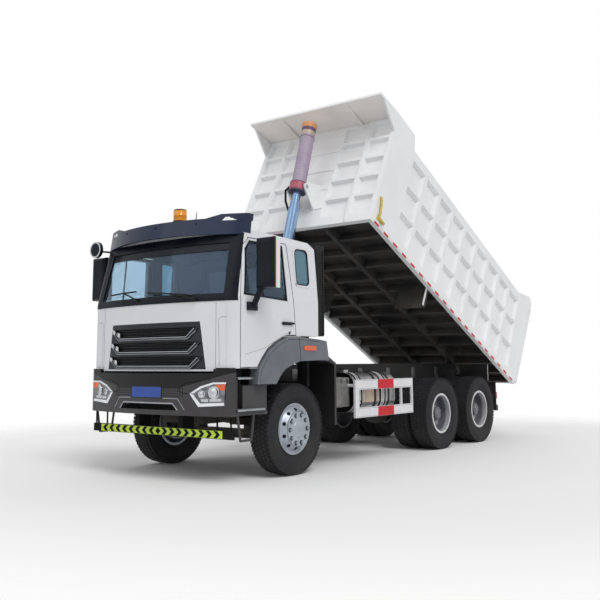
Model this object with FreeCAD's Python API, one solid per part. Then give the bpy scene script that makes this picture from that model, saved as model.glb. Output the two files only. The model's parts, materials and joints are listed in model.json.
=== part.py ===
import FreeCAD, Part
import math
import os

os.makedirs("parts", exist_ok=True)

V = FreeCAD.Vector

# Driving dimensions in millimetres. X is the truck's left, Y runs to the rear, Z is up.
# The front axle is at Y = 0 until the whole truck is shifted to its origin at the end.

# Wheels and axles
wheel_base = 3600
bogie_spacing = 1350
tyre_radius = 540
tyre_width = 300
tread_width = 236
shoulder_drop = 24
rim_seat_radius = 284
rim_flange_radius = 302
rim_width = 224
rim_thickness = 12
disc_thickness = 14
front_track = 2020
rear_track = 1830
dual_spacing = 346
hand_hole_count = 10
hand_hole_radius = 29
hand_hole_circle = 205
wheel_bolt_circle = 335
front_disc_offset = 62
front_hub_radius = 118
drum_radius = 205
drum_length = 95
rear_hub_radius = 130
rear_hub_length = 150
spindle_radius = 40
bearing_gap = 0.5
king_pin_x = 815
king_pin_radius = 24
knuckle_gap = 5
axle_boss_radius = 52
axle_boss_height = 130
knuckle_arm_height = 45
front_beam_drop = 90
front_beam_height = 110
front_beam_depth = 100
axle_tube_radius = 75
axle_bowl_radius = 205
axle_nose_radius = 140
axle_nose_length = 320

# Chassis
rail_outer_x = 430
rail_web = 8
rail_flange = 80
rail_flange_thickness = 12
rail_height = 300
rail_top_z = 1100
rail_front_y = -1080
rail_rear_y = 5640
subframe_height = 200
subframe_width = 80
subframe_front_y = 505
cross_depth = 110
cross_height = 200
seat_gap = 0.3
spring_width = 90
spring_leaf = 14
spring_leaves = 6
spring_half_length = 760
spring_rise = 95
spring_x = 430
bogie_spring_x = 500
bogie_spring_width = 80
bogie_leaves = 9
bogie_pack_top_z = 835
prop_radius = 55

# Engine
engine_width = 680
engine_front_y = -760
engine_rear_y = 420
engine_bottom_z = 610
engine_top_z = 1400
gearbox_radius = 175
gearbox_rear_y = 1380
gearbox_z = 735

# Bed, given in its lowered place and then tipped about its hinge
hinge_y = 5540
hinge_z = 1150
rest_tilt = 26.5
full_tilt = 45
bed_front_y = 1030
bed_rear_y = 6355
bed_bottom_z = 1300
bed_half_width = 1250
bed_wall = 70
bed_skin = 14
side_height = 1690
nose_height = 1925
nose_length = 520
nose_slope = 90
rear_lean = 150
bed_floor_z = 1450
floor_plate = 14
bed_clearance = 10
longitudinal_width = 80
bed_rib_count = 15
bed_rib_width = 60
bed_rib_depth = 110
canopy_reach = 545
canopy_drop = 50
canopy_thickness = 40
panel_rows = 3
panel_columns = 9
panel_bevel = 26
rib_width = 90
bottom_rail_height = 130
top_rail_height = 130
ear_radius = 130
ear_rise = 70
hinge_pin_radius = 30
hinge_boss_radius = 150
hinge_ear_radius = 62
hinge_ear_thickness = 40
pin_gap = 0.3
tailgate_thickness = 90
tailgate_gap = 6
guard_drop = 300
guard_inner_x = 640
guard_outer_x = 1175
guard_thickness = 12
guard_rib = 5
rear_guard_y = 5400
rear_guard_bottom_z = 1000
rear_guard_top_z = 1280

# Hoist: both pins lie on one circle about the bed hinge
hoist_pin_y = 740
hoist_pin_z = 1830
hoist_base_z = 1000
hoist_pin_radius = 32
cover_outer = 107
cover_wall = 8
cover_above_pin = 1090
cover_below_pin = 70
cap_height = 50
cap_radius = 116
collar_radius = 129
collar_height = 130
barrel_radius = 95
stage_2_radius = 83
stage_3_radius = 72
plunger_radius = 62
stage_wall = 9
stage_gap = 0.6
barrel_length = 1820
stage_2_top = 1840
stage_2_bottom = 150
stage_3_top = 1016
stage_3_bottom = 180
plunger_bottom = 135
stage_2_travel = 1453
stage_3_travel = 721
base_eye_radius = 65
base_eye_width = 150
cradle_plate_x = 105
cradle_plate = 25
cradle_front_y = 520
cradle_rear_y = 960
bracket_x = 150
bracket_plate = 22

# Cab
cab_half_width = 1240
cab_roof_half_width = cab_half_width - 80
cab_front_y = -1300
cab_bow = 130
cab_corner_x = cab_half_width - 170
cab_corner_y = -1010
cab_rear_y = 335
cab_bottom_z = 1265
cab_rear_bottom_z = 1640
cab_belt_z = 2050
cab_roof_z = 2860
cab_roof_rear_z = 2810
roof_corner = 110
screen_base_z = 2060
screen_top_z = 2780
screen_slope = 0.25
screen_half_width = cab_half_width - 145
screen_top_half_width = cab_half_width - 185
screen_front_y = -1400
screen_rear_y = -700
rear_window_half_width = cab_half_width - 620
rear_window_low_z = 2150
rear_window_top_z = 2560
visor_half_width = cab_half_width - 90
visor_flare = 25
visor_front_y = -1290
visor_end_y = -985
visor_bottom_z = 2780
visor_height = 200
visor_lean = 60
visor_wall = 35
visor_arch = 12
visor_wing = 45
beacon_x = -140
beacon_y = -715
beacon_radius = 82
beacon_stand = 240
beacon_height = 150
cab_wall = 60
tunnel_half_width = 470
tunnel_top_z = 1500
glass_depth = 18
glass_thickness = 6
glass_gap = 0.5
seat_x = cab_half_width - 520
door_gap = 10
door_inner_gap = 22
door_skin = 30
door_front_y = -1090
door_rear_y = -110
door_rear_top_y = -230
door_top_z = 2745
door_depth_x = cab_corner_x + 15
door_floor_gap = 8
door_well_radius = 112
door_hinge_x = cab_half_width
door_hinge_y = -1078
lid_half_width = cab_half_width - 290
lid_bottom_z = 1235
lid_top_z = 2000
lid_thickness = 40
lid_gap = 6
grille_half_width = lid_half_width - 120
grille_top_half_width = lid_half_width - 205
grille_bottom_z = 1255
grille_top_z = 1790
grille_bars = 3
grille_border = 45
grille_bar_height = 62
grille_bar_turn = 130
grille_bar_lift = 16
mirror_x = cab_half_width + 70
mirror_y = -960
mirror_z = 2150
mirror_width = 250
mirror_depth = 150
mirror_height = 570
round_mirror_x = cab_half_width + 20
round_mirror_y = -1095
round_mirror_z = 2790
round_mirror_radius = 105
round_mirror_depth = 45
round_mirror_foot_y = -905
round_mirror_arm_z = 2772
fender_width = 260
fender_outer_x = cab_half_width + 22
mudguard_y = 700
mudguard_thickness = 40
mudguard_bottom_z = 545
mudguard_top_z = 1315
fender_low_z = 1085

# Bumper, lamps and steps
bumper_front_y = -1345
bumper_side_y = -1142
bumper_bottom_z = 745
bumper_top_z = 1262
bumper_depth = 60
notch_margin = 275
mouth_margin = 740
mouth_low_z = 800
mouth_top_z = 885
notch_low_z = 1214
notch_slope = 8
lamp_outer_margin = 105
lamp_inner_x = cab_half_width - 600
lamp_depth = 60
underrun_z = 545
underrun_height = 95
underrun_half_length = 1170
underrun_y = -1150
underrun_thickness = 35
step_x = cab_half_width - 25
step_front_y = -1130
step_rear_y = -600
step_upper_rear_y = -855
stirrup_rear_y = -860
step_inner_x = step_x - 215
step_top_z = 1145
step_middle_z = 790
step_plate = 30
stirrup_z = 480
stirrup_radius = 14

# Side equipment
tank_front_y = 1270
tank_rear_y = 2330
tank_inner_x = 540
tank_outer_x = 1130
tank_bottom_z = 660
tank_top_z = 1185
tank_corner = 170
strap_count = 3
strap_width = 50
strap_thickness = 5
guard_front_y = 1180
guard_rear_y = 2690
guard_bottom_z = 600
guard_top_z = 1095
guard_rail = 130
guard_x = 1190
guard_tube = 30
guard_arm_radius = 20
box_front_y = 765
box_rear_y = 1105
box_bottom_z = 740
box_top_z = 1130
box_inner_x = 560
box_outer_x = 1080
rear_bar_y = 5790
rear_bar_z = 520
rear_bar_size = 100
rear_bar_half_length = 1130
tail_lamp_height = 120
tail_lamp_width = 420

# Basic solids


def block(x0, x1, y0, y1, z0, z1):
    return Part.makeBox(x1 - x0, y1 - y0, z1 - z0, V(x0, y0, z0))


def rod(start, end, radius):
    axis = end - start
    return Part.makeCylinder(radius, axis.Length, start, axis)


def pipe(start, end, outer, inner):
    return rod(start, end, outer).cut(rod(start, end, inner))


def side_prism(outline, x0, x1):
    """Extrude a list of (y, z) corners along X."""
    points = [V(x0, y, z) for y, z in outline]
    return Part.Face(Part.makePolygon(points + points[:1])).extrude(V(x1 - x0, 0, 0))


def plan_prism(outline, z0, z1):
    """Extrude a list of (x, y) corners along Z."""
    points = [V(x, y, z0) for x, y in outline]
    return Part.Face(Part.makePolygon(points + points[:1])).extrude(V(0, 0, z1 - z0))


def front_prism(outline, y0, y1):
    """Extrude a list of (x, z) corners along Y."""
    points = [V(x, y0, z) for x, z in outline]
    return Part.Face(Part.makePolygon(points + points[:1])).extrude(V(0, y1 - y0, 0))


def turned(outline, centre):
    """Turn a list of (x, radius) corners about the X axis through centre."""
    points = [V(x, 0, r) for x, r in outline]
    solid = Part.Face(Part.makePolygon(points + points[:1])).revolve(V(0, 0, 0), V(1, 0, 0), 360)
    solid.translate(centre)
    return solid


def fused(pieces):
    return pieces[0].multiFuse(pieces[1:]).removeSplitter()


def mirrored(solid):
    return solid.mirror(V(0, 0, 0), V(1, 0, 0))


def both_sides(solid):
    return Part.makeCompound([solid, mirrored(solid)])


def frustum(corners, inner):
    """A pocket between one four-sided outline and a smaller one."""
    wires = [Part.makePolygon(list(ring) + [ring[0]]) for ring in (corners, inner)]
    return Part.makeLoft(wires, True, True)


# Wheels


def tyre(x):
    half = tyre_width / 2
    bead = rim_width / 2 - rim_thickness - seat_gap
    seat = rim_seat_radius + seat_gap
    bulge = (seat + tyre_radius) / 2
    outline = [
        (-bead, seat),
        (-bead, rim_flange_radius + 8),
        (-half, bulge),
        (-half + 8, tyre_radius - 3 * shoulder_drop),
        (-tread_width / 2, tyre_radius - 5),
        (0, tyre_radius),
        (tread_width / 2, tyre_radius - 5),
        (half - 8, tyre_radius - 3 * shoulder_drop),
        (half, bulge),
        (bead, rim_flange_radius + 8),
        (bead, seat),
    ]
    return turned(outline, V(x, 0, tyre_radius))


def rim_barrel(x):
    half = rim_width / 2
    inner = rim_seat_radius - rim_thickness
    outline = [
        (-half, inner),
        (-half, rim_flange_radius),
        (-half + rim_thickness, rim_flange_radius),
        (-half + rim_thickness, rim_seat_radius),
        (half - rim_thickness, rim_seat_radius),
        (half - rim_thickness, rim_flange_radius),
        (half, rim_flange_radius),
        (half, inner),
    ]
    return turned(outline, V(x, 0, tyre_radius))


def hand_holes(x0, x1):
    holes = []
    for index in range(hand_hole_count):
        angle = 2 * math.pi * index / hand_hole_count
        y = hand_hole_circle * math.sin(angle)
        z = tyre_radius + hand_hole_circle * math.cos(angle)
        holes.append(rod(V(x0, y, z), V(x1, y, z), hand_hole_radius))
    return holes


def front_rim(x):
    """Front wheel whose disc bulges out past the flange, with hub and brake drum."""
    inner = rim_seat_radius - rim_thickness
    face = front_disc_offset
    thick = disc_thickness
    flat = wheel_bolt_circle / 2 + 30
    disc = turned(
        [
            (face - 60, inner + 2),
            (face - 60 + thick, inner + 2),
            (face + thick, flat),
            (face + thick, front_hub_radius - 20),
            (face, front_hub_radius - 20),
            (face, flat),
        ],
        V(x, 0, tyre_radius),
    )
    hub = turned(
        [
            (-drum_length, spindle_radius + bearing_gap),
            (-drum_length, drum_radius),
            (0, drum_radius),
            (face, flat - 10),
            (face, front_hub_radius),
            (face + 70, front_hub_radius - 8),
            (face + 95, 70),
            (face + 95, 0),
            (face + 60, 0),
            (face + 60, spindle_radius + bearing_gap),
        ],
        V(x, 0, tyre_radius),
    )
    solid = fused([rim_barrel(x), disc, hub])
    return solid.cut(Part.makeCompound(hand_holes(x + face - 80, x + face + 40)))


def dual_rim(x):
    """Two rims bolted back to back on one hub and drum."""
    inner = rim_seat_radius - rim_thickness
    half = dual_spacing / 2
    reach = half - rim_width / 2 + 30
    thick = disc_thickness
    flat = wheel_bolt_circle / 2 + 30
    disc = turned(
        [
            (reach, inner + 2),
            (reach + thick, inner + 2),
            (thick, flat),
            (thick, rear_hub_radius - 20),
            (0, rear_hub_radius - 20),
            (0, flat),
        ],
        V(x, 0, tyre_radius),
    )
    back = disc.mirror(V(x, 0, 0), V(1, 0, 0))
    hub = turned(
        [
            (-drum_length - 40, spindle_radius + bearing_gap),
            (-drum_length - 40, drum_radius),
            (-thick, drum_radius),
            (0, rear_hub_radius + 20),
            (rear_hub_length - 40, rear_hub_radius),
            (rear_hub_length, rear_hub_radius - 30),
            (rear_hub_length, 0),
            (rear_hub_length - 60, 0),
            (rear_hub_length - 60, spindle_radius + bearing_gap),
        ],
        V(x, 0, tyre_radius),
    )
    solid = fused([rim_barrel(x - half), rim_barrel(x + half), disc, back, hub])
    return solid.cut(Part.makeCompound(hand_holes(x - reach - 30, x + reach + 30)))


def wheel_nodes():
    nodes = {}
    front = (front_rim(front_track / 2), tyre(front_track / 2))
    nodes["rim_front_left"], nodes["tyre_front_left"] = front
    nodes["rim_front_right"] = mirrored(front[0])
    nodes["tyre_front_right"] = mirrored(front[1])
    rim = dual_rim(rear_track / 2)
    pair = Part.makeCompound([tyre((rear_track + side * dual_spacing) / 2) for side in (-1, 1)])
    for place, y in (("middle", wheel_base), ("rear", wheel_base + bogie_spacing)):
        for kind, solid in (("rim", rim), ("tyres", pair)):
            left = solid.copy()
            left.translate(V(0, y, 0))
            nodes[kind + "_" + place + "_left"] = left
            nodes[kind + "_" + place + "_right"] = mirrored(left)
    return nodes


# Axles, knuckles and springs


def front_axle():
    """Forged beam that drops between the springs, with a boss and king pin at each end."""
    z = tyre_radius
    half = front_beam_height / 2
    end = king_pin_x - axle_boss_radius + 10
    drop = front_beam_drop
    top = [(-end, half), (-620, half), (-spring_x, half - drop), (spring_x, half - drop), (620, half), (end, half)]
    outline = [(x, z + dz) for x, dz in top]
    outline += [(x, z + dz - front_beam_height) for x, dz in reversed(top)]
    depth = front_beam_depth
    beam = front_prism(outline, -depth / 2, depth / 2)
    web = 30
    lip = 22
    pocket_line = [(x, z + dz - lip) for x, dz in top[1:-1]]
    pocket_line += [(x, z + dz - front_beam_height + lip) for x, dz in reversed(top[1:-1])]
    pockets = [
        front_prism(pocket_line, -depth / 2, -web / 2),
        front_prism(pocket_line, web / 2, depth / 2),
    ]
    beam = beam.cut(Part.makeCompound(pockets))
    pieces = [beam]
    reach = axle_boss_height / 2 + knuckle_gap + knuckle_arm_height
    for side in (-1, 1):
        x = side * king_pin_x
        boss = rod(V(x, 0, z - axle_boss_height / 2), V(x, 0, z + axle_boss_height / 2), axle_boss_radius)
        pin = rod(V(x, 0, z - reach), V(x, 0, z + reach), king_pin_radius)
        pad_top = spring_seat_z()
        pad = block(side * spring_x - spring_width / 2, side * spring_x + spring_width / 2,
                    -80, 80, z + half - drop - 5, pad_top)
        pieces += [boss, pin, pad]
    return fused(pieces)


def spring_seat_z():
    return tyre_radius + front_beam_height / 2 - front_beam_drop + 60


def knuckle():
    """Left steering knuckle: a yoke round the axle boss, a flange and the stub axle."""
    x = king_pin_x
    z = tyre_radius
    low = axle_boss_height / 2 + knuckle_gap
    high = low + knuckle_arm_height
    plate_x = x + axle_boss_radius + knuckle_gap
    plate_end = front_track / 2 - drum_length - knuckle_gap
    pieces = []
    for lower, upper in ((z - high, z - low), (z + low, z + high)):
        arm = rod(V(x, 0, lower), V(x, 0, upper), axle_boss_radius)
        bar = block(x, plate_end, -axle_boss_radius, axle_boss_radius, lower, upper)
        hole = rod(V(x, 0, lower - 1), V(x, 0, upper + 1), king_pin_radius + pin_gap)
        pieces.append(arm.fuse(bar).cut(hole))
    flange = block(plate_x, plate_end, -axle_boss_radius - 20, axle_boss_radius + 20, z - high, z + high)
    stub_end = front_track / 2 + front_disc_offset + 50
    stub = rod(V(plate_x, 0, z), V(stub_end, 0, z), spindle_radius)
    lever = block(plate_x, plate_end, axle_boss_radius, axle_boss_radius + 150, z - high, z - high + 30)
    return fused(pieces + [flange, stub, lever])


def arc_band(half_length, rise, thickness, top_z, centre_y, x0, x1):
    """One spring leaf: a band bent to an arc, highest at its middle when rise is positive."""
    low = top_z - rise
    points = []
    for dz in (0, -thickness):
        ends = [V(x0, centre_y - half_length, low + dz), V(x0, centre_y + half_length, low + dz)]
        points.append((ends[0], V(x0, centre_y, top_z + dz), ends[1]))
    upper = Part.Arc(*points[0]).toShape()
    lower = Part.Arc(*points[1]).toShape()
    sides = [Part.makeLine(points[0][index], points[1][index]) for index in (0, 2)]
    wire = Part.Wire(Part.__sortEdges__([upper, sides[1], lower, sides[0]]))
    return Part.Face(wire).extrude(V(x1 - x0, 0, 0))


def front_springs():
    """Leaf packs over the front axle with a hanger at each end."""
    seat = spring_seat_z() + seat_gap
    x0 = spring_x - spring_width / 2
    x1 = spring_x + spring_width / 2
    pieces = []
    for index in range(spring_leaves):
        half = spring_half_length * (1 - 0.11 * (spring_leaves - 1 - index))
        rise = -spring_rise * (half / spring_half_length) ** 2
        top = seat + (index + 1) * spring_leaf
        pieces.append(arc_band(half, rise, spring_leaf, top, 0, x0, x1))
    eye_z = seat + spring_leaves * spring_leaf + spring_rise
    for y in (-spring_half_length, spring_half_length):
        pieces.append(rod(V(x0, y, eye_z), V(x1, y, eye_z), 34))
        hanger = side_prism(
            [(y - 60, rail_top_z - 60), (y + 60, rail_top_z - 60), (y + 30, eye_z - 40), (y - 30, eye_z - 40)],
            rail_outer_x + seat_gap,
            rail_outer_x + 24,
        )
        pieces.append(hanger)
    return both_sides(fused(pieces))


def bogie_springs():
    """Inverted leaf packs between the two driven axles, clamped on a central saddle."""
    centre = wheel_base + bogie_spacing / 2
    x0 = bogie_spring_x - bogie_spring_width / 2
    x1 = bogie_spring_x + bogie_spring_width / 2
    top = bogie_pack_top_z
    reach = bogie_spacing / 2 + 60
    pad_z = tyre_radius + axle_tube_radius + 30 + seat_gap
    rise = top - bogie_leaves * spring_leaf - pad_z
    pieces = []
    for index in range(bogie_leaves):
        half = reach * (1 - 0.085 * index)
        drop = rise * (half / reach) ** 2
        leaf_top = top - (bogie_leaves - 1 - index) * spring_leaf
        pieces.append(arc_band(half, drop, spring_leaf, leaf_top, centre, x0, x1))
    low = top - bogie_leaves * spring_leaf
    saddle = block(rail_outer_x + seat_gap, x1 + 15, centre - 90, centre + 90, low - 60, low)
    cover = block(x0 - 5, x1 + 5, centre - 80, centre + 80, top, top + 20)
    plate = side_prism(
        [(centre - 240, rail_top_z - 40), (centre + 240, rail_top_z - 40), (centre + 100, low - 60), (centre - 100, low - 60)],
        rail_outer_x + seat_gap,
        rail_outer_x + 25,
    )
    return both_sides(fused(pieces + [saddle, cover, plate]))


def drive_axles():
    """Two banjo housings with stub ends that enter the hubs."""
    end = rear_track / 2 - drum_length - 40 - knuckle_gap
    stub = rear_track / 2 + rear_hub_length - 70
    outline = [
        (0, 0),
        (stub, 0),
        (stub, spindle_radius),
        (end, spindle_radius),
        (end, axle_tube_radius),
        (280, axle_tube_radius),
        (200, 120),
        (110, axle_bowl_radius - 20),
        (0, axle_bowl_radius),
    ]
    half = turned(outline, V(0, 0, tyre_radius))
    nose = Part.makeCone(
        axle_nose_radius, axle_nose_radius * 0.55, axle_nose_length, V(0, 0, tyre_radius), V(0, -1, 0)
    )
    pads = []
    for side in (-1, 1):
        x = side * bogie_spring_x
        half_pad = bogie_spring_width / 2 + 10
        pads.append(block(x - half_pad, x + half_pad, -70, 70, tyre_radius, tyre_radius + axle_tube_radius + 30))
    one = fused([half, mirrored(half), nose] + pads)
    axles = []
    for y in (wheel_base, wheel_base + bogie_spacing):
        copy = one.copy()
        copy.translate(V(0, y, 0))
        axles.append(copy)
    return Part.makeCompound(axles)


def propshafts():
    """Tubular shafts from the gearbox to the middle axle and on to the rear axle."""
    flange = 25
    shafts = []
    runs = [
        (gearbox_rear_y + seat_gap, gearbox_z, wheel_base - axle_nose_length - seat_gap, tyre_radius),
        (wheel_base + axle_bowl_radius + seat_gap, tyre_radius,
         wheel_base + bogie_spacing - axle_nose_length - seat_gap, tyre_radius),
    ]
    for y0, z0, y1, z1 in runs:
        body = rod(V(0, y0 + flange, z0), V(0, y1 - flange, z1), prop_radius)
        first = rod(V(0, y0, z0), V(0, y0 + 2 * flange, z0), prop_radius + 20)
        last = rod(V(0, y1 - 2 * flange, z1), V(0, y1, z1), prop_radius + 20)
        shafts.append(fused([body, first, last]))
    return shafts


# Chassis frame


def rail_section(x, side):
    """Channel section, open towards the truck's middle."""
    web = x - side * rail_web
    lip = x - side * rail_flange
    top = rail_top_z
    bottom = rail_top_z - rail_height
    thick = rail_flange_thickness
    return [
        (x, bottom),
        (x, top),
        (lip, top),
        (lip, top - thick),
        (web, top - thick),
        (web, bottom + thick),
        (lip, bottom + thick),
        (lip, bottom),
    ]


def frame_rails():
    rails = []
    for side in (-1, 1):
        rails.append(front_prism(rail_section(side * rail_outer_x, side), rail_front_y, rail_rear_y))
    return Part.makeCompound(rails)


def crossmembers():
    """Pressed channels between the rail webs."""
    inner = rail_outer_x - rail_web - seat_gap
    top = rail_top_z - rail_flange_thickness - seat_gap
    low = top - cross_height
    wall = 10
    members = []
    places = [rail_front_y + cross_depth, 1560, 2450, 3080, wheel_base + bogie_spacing / 2 - cross_depth / 2, 5180]
    for y in places:
        solid = block(-inner, inner, y, y + cross_depth, low, top)
        hollow = block(-inner, inner, y + wall, y + cross_depth, low + wall, top - wall)
        members.append(solid.cut(hollow))
    return members


def subframe():
    """Box beams on the rails that carry the bed and end in the hinge bosses."""
    x0 = rail_outer_x - subframe_width
    z0 = rail_top_z + seat_gap
    top = rail_top_z + subframe_height
    beam = block(x0, rail_outer_x, subframe_front_y, hinge_y, z0, top)
    boss = rod(V(x0, hinge_y, hinge_z), V(rail_outer_x, hinge_y, hinge_z), hinge_boss_radius)
    under = block(x0 - 1, rail_outer_x + 1, hinge_y - 400, hinge_y + 400, hinge_z - 400, z0)
    beam = beam.fuse(boss.cut(under)).cut(
        rod(V(x0 - 1, hinge_y, hinge_z), V(rail_outer_x + 1, hinge_y, hinge_z), hinge_pin_radius + pin_gap)
    )
    beams = [beam, mirrored(beam)]
    ties = []
    for y in (1700, 2900, 4200):
        ties.append(block(-x0, x0, y, y + 80, z0 + 20, top - 40))
    return fused(beams + ties)


def hoist_cradle():
    """Two cross tubes and two plates that carry the hoist's lower pin."""
    inner = rail_outer_x - rail_web - seat_gap
    z1 = rail_top_z - rail_flange_thickness - seat_gap
    z0 = z1 - 90
    base = hoist_base()
    pieces = []
    for y in (cradle_front_y, cradle_rear_y - 50):
        pieces.append(block(-inner, inner, y, y + 50, z0, z1))
    for side in (-1, 1):
        x = sorted((side * cradle_plate_x, side * (cradle_plate_x + cradle_plate)))
        pieces.append(block(x[0], x[1], cradle_front_y, cradle_rear_y, base.z - 55, z1))
    width = cradle_plate_x + cradle_plate
    pieces.append(rod(V(-width, base.y, base.z), V(width, base.y, base.z), hoist_pin_radius))
    return fused(pieces)


# Hoist


def bed_hinge():
    return V(0, hinge_y, hinge_z)


def tipped(solid, angle=rest_tilt):
    copy = solid.copy()
    copy.rotate(bed_hinge(), V(-1, 0, 0), angle)
    return copy


def hoist_top_low():
    return V(0, hoist_pin_y, hoist_pin_z)


def hoist_radius():
    return (hoist_top_low() - bed_hinge()).Length


def hoist_base():
    drop = hinge_z - hoist_base_z
    return V(0, hinge_y - math.sqrt(hoist_radius() ** 2 - drop ** 2), hoist_base_z)


def hoist_top(angle=rest_tilt):
    low = hoist_top_low() - bed_hinge()
    turn = math.radians(angle)
    y = low.y * math.cos(turn) + low.z * math.sin(turn)
    z = low.z * math.cos(turn) - low.y * math.sin(turn)
    return bed_hinge() + V(0, y, z)


def hoist_tube(start, end, outer, inner):
    """A tube along the hoist, from and to a distance above the lower pin at rest."""
    along = (hoist_top() - hoist_base()).normalize()
    base = hoist_base()
    first = base + along * start
    last = base + along * end
    if inner:
        return pipe(first, last, outer, inner)
    return rod(first, last, outer)


def hoist_nodes():
    closed = (hoist_top(0) - hoist_base()).Length
    now = (hoist_top() - hoist_base()).Length
    share = rest_tilt / full_tilt
    slide_2 = stage_2_travel * share
    slide_3 = now - closed - stage_3_travel * share
    slide_cover = now - closed
    base = hoist_base()
    half = base_eye_width / 2
    eye = rod(V(-half, base.y, base.z), V(half, base.y, base.z), base_eye_radius)
    foot = hoist_tube(0, 120, base_eye_radius, 0)
    bore = rod(V(-half - 1, base.y, base.z), V(half + 1, base.y, base.z), hoist_pin_radius + pin_gap)
    bottom = hoist_tube(70, 105, barrel_radius, 0)
    barrel = hoist_tube(100, barrel_length, barrel_radius, stage_2_radius + stage_gap)
    stage_2 = hoist_tube(
        stage_2_bottom + slide_2, stage_2_top + slide_2, stage_2_radius, stage_3_radius + stage_gap
    )
    stage_3 = hoist_tube(
        stage_3_bottom + slide_3, stage_3_top + slide_3, stage_3_radius, plunger_radius + stage_gap
    )
    top = now + cover_above_pin
    plunger = hoist_tube(
        plunger_bottom + slide_cover, top - cap_height - seat_gap, plunger_radius, plunger_radius - stage_wall
    )
    inner = cover_outer - cover_wall
    tube = hoist_tube(now - cover_below_pin, top - cap_height, cover_outer, inner)
    cap = hoist_tube(top - cap_height, top, cap_radius, 0)
    collar = hoist_tube(now - collar_height / 2, now + collar_height / 2, collar_radius, inner)
    pin_y = hoist_top()
    reach = bracket_x + bracket_plate
    pin = rod(V(-reach, pin_y.y, pin_y.z), V(reach, pin_y.y, pin_y.z), hoist_pin_radius)
    pin = pin.cut(hoist_tube(now - 200, now + 200, inner + 1, 0))
    return {
        "hoist_barrel": fused([eye, foot, bottom, barrel]).cut(bore),
        "hoist_stage_2": stage_2,
        "hoist_stage_3": stage_3,
        "hoist_plunger": plunger,
        "hoist_cover": fused([tube, cap, collar, pin]),
    }


# Bed


def side_outline():
    nose_end = bed_front_y + nose_length
    top = bed_bottom_z + side_height
    return [
        (bed_front_y + bed_wall + seat_gap, bed_bottom_z),
        (bed_rear_y, bed_bottom_z),
        (bed_rear_y + rear_lean, top),
        (nose_end + nose_slope, top),
        (nose_end, bed_bottom_z + nose_height),
        (bed_front_y + bed_wall + seat_gap, bed_bottom_z + nose_height),
    ]


def rear_edge_y(z):
    return bed_rear_y + rear_lean * (z - bed_bottom_z) / side_height


def side_pockets():
    """Recessed panels pressed into the outside of the side wall, in rows and columns."""
    first = bed_front_y + nose_length + nose_slope
    last = bed_rear_y - 330
    low = bed_bottom_z + bottom_rail_height
    high = bed_bottom_z + side_height - top_rail_height
    pitch = (last - first) / panel_columns
    row = (high - low) / panel_rows
    x_out = bed_half_width + 1
    x_in = bed_half_width - bed_wall + bed_skin
    depth = panel_bevel
    pockets = []
    for column in range(panel_columns):
        for level in range(panel_rows):
            y0 = first + column * pitch + rib_width / 2
            y1 = first + (column + 1) * pitch - rib_width / 2
            z0 = low + level * row + rib_width / 4
            z1 = low + (level + 1) * row - rib_width / 4
            outer = [V(x_out, y0, z0), V(x_out, y1, z0), V(x_out, y1, z1), V(x_out, y0, z1)]
            inner = [
                V(x_in, y0 + depth, z0 + depth),
                V(x_in, y1 - depth, z0 + depth),
                V(x_in, y1 - depth, z1 - depth),
                V(x_in, y0 + depth, z1 - depth),
            ]
            pockets.append(frustum(outer, inner))
    return pockets


def bed_side():
    x0 = bed_half_width - bed_wall
    wall = side_prism(side_outline(), x0, bed_half_width)
    pivot = tailgate_pivot()
    ear = rod(V(x0, pivot.y, pivot.z), V(bed_half_width, pivot.y, pivot.z), ear_radius)
    web = side_prism(
        [
            (pivot.y - 520, bed_bottom_z + side_height - 10),
            (pivot.y - 60, pivot.z + ear_radius - 15),
            (pivot.y, bed_bottom_z + side_height - 60),
            (pivot.y - 400, bed_bottom_z + side_height - 60),
        ],
        x0,
        bed_half_width,
    )
    solid = fused([wall, ear, web])
    hole = rod(V(x0 - 1, pivot.y, pivot.z), V(bed_half_width + 1, pivot.y, pivot.z), 25 + pin_gap)
    return solid.cut(Part.makeCompound(side_pockets() + [hole]))


def tailgate_pivot():
    z = bed_bottom_z + side_height + ear_rise - 20
    return V(0, rear_edge_y(z) - 60, z)


def bed_front():
    """Front wall with recessed panels, its forward canopy and the hoist's top brackets."""
    y0 = bed_front_y
    y1 = bed_front_y + bed_wall
    top = bed_bottom_z + nose_height
    half = bed_half_width
    wall = block(-half, half, y0, y1, bed_bottom_z, top)
    rows = 5
    row = (nose_height - bottom_rail_height - 60) / rows
    columns = [(-half + 70, -840), (-760, -330), (330, 760), (840, half - 70)]
    pockets = []
    for left, right in columns:
        for level in range(rows):
            z0 = bed_bottom_z + bottom_rail_height + level * row + 25
            z1 = z0 + row - 50
            outer = [V(left, y0 - 1, z0), V(right, y0 - 1, z0), V(right, y0 - 1, z1), V(left, y0 - 1, z1)]
            bevel = panel_bevel
            y_in = y1 - bed_skin
            inner = [
                V(left + bevel, y_in, z0 + bevel),
                V(right - bevel, y_in, z0 + bevel),
                V(right - bevel, y_in, z1 - bevel),
                V(left + bevel, y_in, z1 - bevel),
            ]
            pockets.append(frustum(outer, inner))
    wall = wall.cut(Part.makeCompound(pockets))
    tip = y0 - canopy_reach
    canopy = side_prism(
        [
            (y1, top),
            (y0, top),
            (tip, top - canopy_drop),
            (tip, top - canopy_drop - canopy_thickness),
            (y0, top - canopy_thickness),
            (y1, top - canopy_thickness),
        ],
        -half,
        half,
    )
    gusset = side_prism(
        [(y0 + 5, top - 10), (tip + 60, top - canopy_drop), (y0 + 5, top - 330)],
        half - 30,
        half,
    )
    pin = hoist_top_low()
    bracket = side_prism(
        [
            (y0 + 5, pin.z - 230),
            (y0 + 5, pin.z + 230),
            (pin.y - 20, pin.z + 60),
            (pin.y - 70, pin.z),
            (pin.y - 20, pin.z - 60),
        ],
        bracket_x,
        bracket_x + bracket_plate,
    ).cut(rod(V(0, pin.y, pin.z), V(500, pin.y, pin.z), hoist_pin_radius + pin_gap))
    return fused([wall, canopy, gusset, mirrored(gusset), bracket, mirrored(bracket)])


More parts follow.
